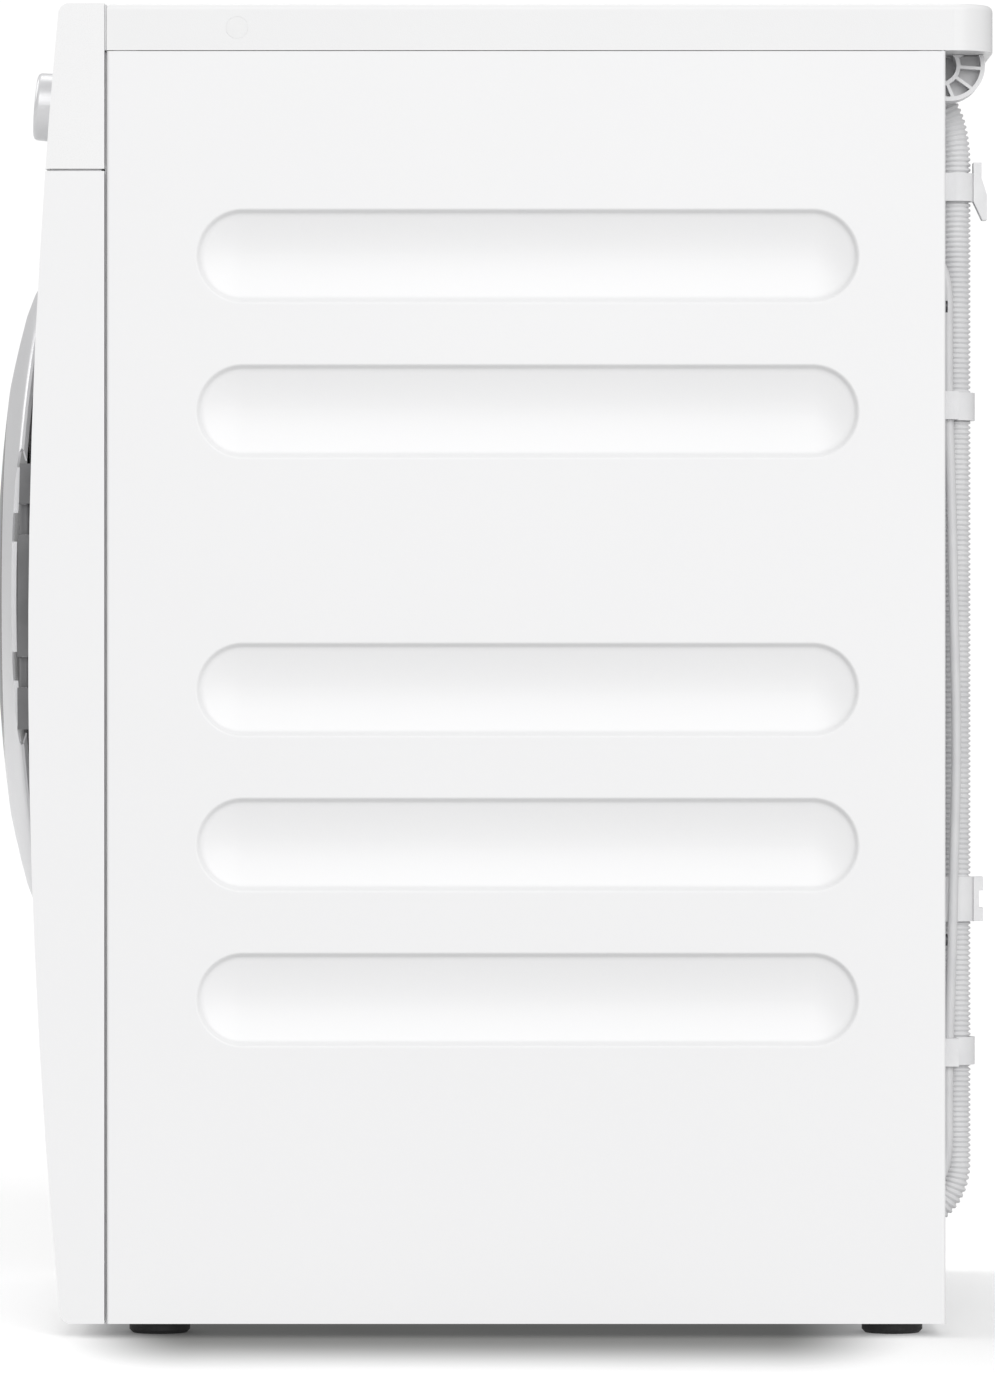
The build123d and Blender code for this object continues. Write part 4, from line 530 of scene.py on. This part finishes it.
dress(window_black, "display_window")
dress(board_green, "control_board")
control_height = 0.798
bow_radius, bow_crown, bow_apex = 4.4, 0.435, -0.2895
bow_lean = math.asin((control_height - bow_crown) / bow_radius)
fascia_y = bow_apex + bow_radius * (1 - math.cos(bow_lean))
knob_x, display_x = 0.090, 0.190
mark_circle, mark_count, mark_gap, mark_edge = 0.0325, 17, 20.0, 0.0001
mark_long, mark_short, mark_wide, mark_thick = 0.0052, 0.0032, 0.0009, 0.0003
pointer_long, pointer_wide, pointer_thick, pointer_edge = 0.0098, 0.0016, 0.0014, 0.0003
pointer_out, pointer_rise = 0.0143, 0.0219
digit_tall, digit_thick, digit_proud = 0.026, 0.00008, 0.0001


def on_fascia(piece, x, proud=0.0):
    """Stand a piece that was made flat at the origin on the bowed fascia."""
    piece.rotation_euler = (math.radians(90) - bow_lean, 0, 0)
    piece.location = (x, fascia_y - proud, control_height)


def join_up(pieces):
    """Make several like pieces one, kept in the first."""
    start_fresh()
    for piece in pieces:
        piece.select_set(True)
    bpy.context.view_layer.objects.active = pieces[0]
    bpy.ops.object.join()
    return pieces[0]


marks = []
for step in range(mark_count):
    turn = math.radians(-90 + mark_gap + step * (360 - 2 * mark_gap) / (mark_count - 1))
    length = mark_long if step % 4 == 0 else mark_short
    place = (mark_circle * math.cos(turn), mark_circle * math.sin(turn), 0)
    marks.append(block((length, mark_wide, mark_thick), place, turn))
dial = join_up(marks)
soften(dial, mark_edge, steps=2)
on_fascia(dial, knob_x)
settle(dial, "dial_marks", mark_grey)
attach(dial, "cabinet")
pointer = block((pointer_wide, pointer_long, pointer_thick), (0, pointer_out, pointer_rise))
soften(pointer, pointer_edge, steps=3)
on_fascia(pointer, knob_x)
settle(pointer, "knob_pointer", mark_grey)
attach(pointer, "knob")
start_fresh()
bpy.ops.object.text_add()
digits = bpy.context.object
digits.data.body = "1:20"
digits.data.align_x = "CENTER"
digits.data.align_y = "CENTER"
digits.data.size = digit_tall
digits.data.extrude = digit_thick
bpy.ops.object.convert(target="MESH")
digits = bpy.context.object
on_fascia(digits, display_x, digit_proud)
settle(digits, "display_digits", glow)
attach(digits, "cabinet")

# Condensate container: a pale blow-moulded tank that slides out of a housing of the same plastic.
# Its front is moulded and finished like the fascia beside it.
dress(pale, "container_housing", "condensate_tank")
dress(fascia_white, "container_front")

# Drain hose: extruded soft grey plastic, corrugated in a fine pitch so that it bends without kinking.
# It leaves the pump through the rear panel, runs straight up the back and goes in again under the lid.
hose_grey = coat_of(
    "hose_plastic", (0.74, 0.74, 0.745), (0.68, 0.68, 0.69),
    rough=0.42, spread=0.08, grain=500, bump=0.1, patch=30,
)
hose_x = 0.225
hose_route = [
    (0.2553, 0.0710),
    (0.2653, 0.0710),
    (0.2853, 0.0710),
    (0.3053, 0.0910),
    (0.3053, 0.1250),
    (0.3053, 0.4300),
    (0.3053, 0.7400),
    (0.3053, 0.7640),
    (0.3000, 0.7870),
    (0.2889, 0.8020),
]
hose_outer, hose_valley = 0.010, 0.0086
hose_ribs, hose_segments = 236, 18
rib_steps = [(0.26, hose_outer), (0.58, hose_outer), (0.84, hose_valley), (1.0, hose_valley)]


def route_curve(name, points):
    """An open NURBS line through a given route."""
    line = bpy.data.curves.new(name, "CURVE")
    line.dimensions = "3D"
    spline = line.splines.new("NURBS")
    spline.points.add(len(points) - 1)
    for spot, place in zip(spline.points, points):
        spot.co = (*place, 1)
    spline.order_u = 3
    spline.use_endpoint_u = True
    spline.resolution_u = 16
    route = bpy.data.objects.new(name, line)
    bpy.context.scene.collection.objects.link(route)
    return route


def route_spots(route):
    """Points along a route's own line, read from its spline."""
    mesh = bpy.data.meshes.new_from_object(route)
    spots = [v.co.copy() for v in mesh.vertices]
    bpy.data.meshes.remove(mesh)
    return spots


start_fresh()
hose_path = route_curve("hose_path", [(hose_x, y, z) for y, z in hose_route])
bpy.context.view_layer.update()
hose_spots = route_spots(hose_path)
hose_length = sum((b - a).length for a, b in zip(hose_spots, hose_spots[1:]))
pitch = hose_length / hose_ribs
bpy.ops.mesh.primitive_circle_add(
    vertices=hose_segments, radius=hose_valley, rotation=(0, math.radians(90), 0)
)
hose = bpy.context.object
bpy.ops.object.transform_apply(location=True, rotation=True, scale=True)
bpy.ops.object.mode_set(mode="EDIT")
bpy.ops.mesh.select_all(action="SELECT")
at, size = 0.0, hose_valley
for step, radius in rib_steps:
    bpy.ops.mesh.extrude_region_move(TRANSFORM_OT_translate={"value": ((step - at) * pitch, 0, 0)})
    bpy.ops.transform.resize(value=(1, radius / size, radius / size))
    at, size = step, radius
bpy.ops.object.mode_set(mode="OBJECT")
ribs = hose.modifiers.new("ribs", "ARRAY")
ribs.count = hose_ribs
ribs.use_relative_offset = False
ribs.use_constant_offset = True
ribs.constant_offset_displace = (pitch, 0, 0)
ribs.use_merge_vertices = True
ribs.merge_threshold = weld
follow = hose.modifiers.new("route", "CURVE")
follow.object = hose_path
follow.deform_axis = "POS_X"
for modifier in list(hose.modifiers):
    bpy.ops.object.modifier_apply(modifier=modifier.name)
bpy.ops.object.mode_set(mode="EDIT")
bpy.ops.mesh.select_all(action="SELECT")
bpy.ops.mesh.fill_holes(sides=0)
bpy.ops.mesh.normals_make_consistent(inside=False)
settle(hose, "ribbed_hose", hose_grey, angle=60)
bpy.data.objects.remove(hose_path)
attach(hose, "cabinet")
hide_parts("drain_hose")

# Clipped lead: a round grey jacket of soft plastic, held by the hose clips along the rear edge.
# It bows a little between its clips, and each end goes through a grommet into the rear panel.
lead_grey = coat_of(
    "lead_jacket", (0.7, 0.7, 0.705), (0.64, 0.64, 0.65),
    rough=0.46, spread=0.06, grain=900, bump=0.06, patch=40,
)
lead_x, lead_y = 0.252, 0.2994
lead_radius = 0.0032
lead_route = [
    (0.0, -0.0094, 0.6914),
    (0.0, -0.0040, 0.6860),
    (0.0, 0.0, 0.6700),
    (0.0002, -0.0002, 0.6464),
    (0.0, 0.0, 0.5954),
    (0.0004, 0.0022, 0.5289),
    (0.0006, 0.0036, 0.4540),
    (0.0004, 0.0056, 0.3792),
    (0.0006, 0.0036, 0.3043),
    (0.0003, 0.0020, 0.2337),
    (0.0, 0.0, 0.1796),
    (0.0002, -0.0002, 0.1356),
    (0.0, 0.0, 0.1150),
    (0.0, -0.0040, 0.0990),
    (0.0, -0.0094, 0.0936),
]
start_fresh()
lead = route_curve("lead", [(lead_x + x, lead_y + y, z) for x, y, z in lead_route])
lead.data.bevel_depth = lead_radius
lead.data.bevel_resolution = 5
lead.data.use_fill_caps = True
lead.select_set(True)
bpy.context.view_layer.objects.active = lead
bpy.ops.object.convert(target="MESH")
lead = bpy.context.object
settle(lead, "rear_lead", lead_grey, angle=60)
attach(lead, "cabinet")
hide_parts("clipped_lead")

# Rear fittings: the hose guide, the clips and hooks, and the lead's grommets are plain white mouldings.
# The guide's pockets are shallow, closed by a web just below its spokes, and each grommet is a low ring. The
# web is greyer than the guide as painted shade for the pockets.
# The mains inlet is a dark moulding that snaps into the rear panel.
fitting_white = coat_of(
    "fitting_moulding", (0.8, 0.8, 0.805), (0.74, 0.74, 0.75),
    rough=0.44, spread=0.08, grain=1100, bump=0.15, patch=50,
)
# The web's grey is painted shade: it darkens the pockets of the white guide, which is one plastic throughout.
web_painted_shade = coat_of(
    "painted_shade_web", (0.6, 0.6, 0.605), (0.55, 0.55, 0.56),
    rough=0.5, spread=0.08, grain=1100, bump=0.15, patch=50,
)
dress(fitting_white, "hose_guide", "hose_holders")
dress(dark_grey, "mains_inlet")
guide_y, guide_height = 0.2995, 0.8129
hub_y, hub_bore = 0.2934, 0.0105
web_radius, web_face, web_wall = 0.0210, 0.2560, 0.0012
web_points, hub_points = 64, 48
rear_face, lid_under = 0.2938, 0.8195
grommet_y, grommet_heights = 0.2944, (0.6914, 0.0936)
grommet_radius, grommet_bead = 0.0062, 0.0016
start_fresh()
bpy.ops.mesh.primitive_circle_add(
    vertices=web_points,
    radius=web_radius,
    location=(web_face, guide_y, guide_height),
    rotation=(0, math.radians(90), 0),
)
web = bpy.context.object
bpy.ops.object.transform_apply(location=True, rotation=True, scale=True)
bpy.ops.object.mode_set(mode="EDIT")
bpy.ops.mesh.select_all(action="DESELECT")
bpy.ops.mesh.primitive_circle_add(
    vertices=hub_points,
    radius=hub_bore,
    location=(web_face, hub_y, guide_height),
    rotation=(0, math.radians(90), 0),
)
bpy.ops.mesh.select_all(action="SELECT")
bpy.ops.mesh.fill(use_beauty=True)
for spot, way in [((0, rear_face, 0), (0, -1, 0)), ((0, 0, lid_under), (0, 0, 1))]:
    bpy.ops.mesh.select_all(action="SELECT")
    bpy.ops.mesh.bisect(plane_co=spot, plane_no=way, clear_outer=True)
bpy.ops.mesh.select_all(action="SELECT")
bpy.ops.mesh.normals_make_consistent(inside=False)
thicken(web, web_wall, offset=0)
settle(web, "guide_web", web_painted_shade)
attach(web, "cabinet")
rings = []
for z in grommet_heights:
    start_fresh()
    bpy.ops.mesh.primitive_torus_add(
        major_radius=grommet_radius,
        minor_radius=grommet_bead,
        major_segments=40,
        minor_segments=12,
        location=(lead_x, grommet_y, z),
        rotation=(math.radians(90), 0, 0),
    )
    rings.append(bpy.context.object)
    bpy.ops.object.transform_apply(location=True, rotation=True, scale=True)
    bpy.ops.object.mode_set(mode="EDIT")
    bpy.ops.mesh.select_all(action="SELECT")
    bpy.ops.mesh.bisect(plane_co=(0, rear_face, 0), plane_no=(0, -1, 0), clear_outer=True)
    bpy.ops.object.mode_set(mode="OBJECT")
grommets = join_up(rings)
settle(grommets, "lead_grommets", fitting_white)
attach(grommets, "cabinet")
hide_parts("lead_glands")

# Floor: one wide pale sheet with a faint mottle and a soft shadow painted where the machine stands.
# It adds no bounced light of its own, so the beads keep the shading that the lamps above give them.
floor_white = coat_of(
    "pale_floor", (0.95, 0.95, 0.95), (0.94, 0.94, 0.94),
    rough=0.8, spread=0.05, grain=20, bump=0.0, patch=1,
)
floor_side = 60
stand_middle = (0.10, 0.0, 0.0)
stand_half = (0.190, 0.540, 1.0)
narrow = (1.0, 3.0, 1.0)
shadow_stops = [(0.03, (0.2, 0.2, 0.195, 1)), (0.30, (1, 1, 1, 1))]
floor_tree = floor_white.node_tree
source, port = floor_tree.nodes["Texture Coordinate"], "Object"
for operation, amount in [
    ("SUBTRACT", stand_middle),
    ("ABSOLUTE", None),
    ("MULTIPLY", narrow),
    ("SUBTRACT", stand_half),
    ("MAXIMUM", (0, 0, 0)),
    ("LENGTH", None),
]:
    measure = floor_tree.nodes.new("ShaderNodeVectorMath")
    measure.operation = operation
    wire(floor_tree, source, port, measure, 0)
    if amount:
        measure.inputs[1].default_value = amount
    source, port = measure, "Value" if operation == "LENGTH" else "Vector"
shadow = floor_tree.nodes.new("ShaderNodeValToRGB")
shadow.color_ramp.interpolation = "EASE"
for stop, (position, colour) in zip(shadow.color_ramp.elements, shadow_stops):
    stop.position = position
    stop.color = colour
shaded = floor_tree.nodes.new("ShaderNodeMix")
shaded.data_type = "RGBA"
shaded.blend_type = "MULTIPLY"
shaded.inputs["Factor"].default_value = 1
floor_shader = floor_tree.nodes["Principled BSDF"]
wire(floor_tree, source, port, shadow, "Fac")
wire(floor_tree, floor_tree.nodes["shades"], "Color", shaded, 6)
wire(floor_tree, shadow, "Color", shaded, 7)
wire(floor_tree, shaded, 2, floor_shader, "Base Color")
wire(floor_tree, shadow, "Color", floor_shader, "Emission Color")
tune(floor_white, "Emission Strength", 0.18)
start_fresh()
bpy.ops.mesh.primitive_plane_add(size=floor_side)
floor = bpy.context.object
floor.name = "floor"
floor.data.materials.append(floor_white)
floor.visible_diffuse = False

# Studio light: an even white tent, a wide key from the camera's side, a weak lamp from the far side and a
# softer one from the front. The tent gives less light than the white ground that shows behind the object.
tent_light, ground_white = 0.46, 1.05
lamps = [
    ("key", (0, 67, 12), 1.8, 50),
    ("back", (0, -25, 0), 0.4, 24),
    ("front", (55, 0, -20), 0.95, 40),
]
world = bpy.data.worlds.new("tent")
bpy.context.scene.world = world
world.use_nodes = True
tent = world.node_tree
lining = tent.nodes["Background"]
ground = tent.nodes.new("ShaderNodeBackground")
for backdrop, strength in [(lining, tent_light), (ground, ground_white)]:
    backdrop.inputs["Color"].default_value = (1, 1, 1, 1)
    backdrop.inputs["Strength"].default_value = strength
ray = tent.nodes.new("ShaderNodeLightPath")
mix = tent.nodes.new("ShaderNodeMixShader")
wire(tent, ray, "Is Camera Ray", mix, "Fac")
wire(tent, lining, 0, mix, 1)
wire(tent, ground, 0, mix, 2)
wire(tent, mix, 0, tent.nodes["World Output"], 0)
for name, turn, power, width in lamps:
    lamp = bpy.data.lights.new(name, "SUN")
    lamp.energy = power
    lamp.angle = math.radians(width)
    holder = bpy.data.objects.new(name, lamp)
    holder.rotation_euler = [math.radians(a) for a in turn]
    bpy.context.scene.collection.objects.link(holder)

# Camera: level and square to the right-hand side, as in the photograph.
# It stands five metres from the panel, so that the sides stay almost parallel.
camera_place = (5.298, 0.0095, 0.406)
eye = bpy.data.cameras.new("camera")
eye.lens = 201.8
eye.sensor_width = 36
eye.clip_end = 100
camera = bpy.data.objects.new("camera", eye)
camera.location = camera_place
camera.rotation_euler = (math.radians(90), 0, math.radians(90))
bpy.context.scene.collection.objects.link(camera)
bpy.context.scene.camera = camera
bpy.context.scene.view_settings.view_transform = "Standard"
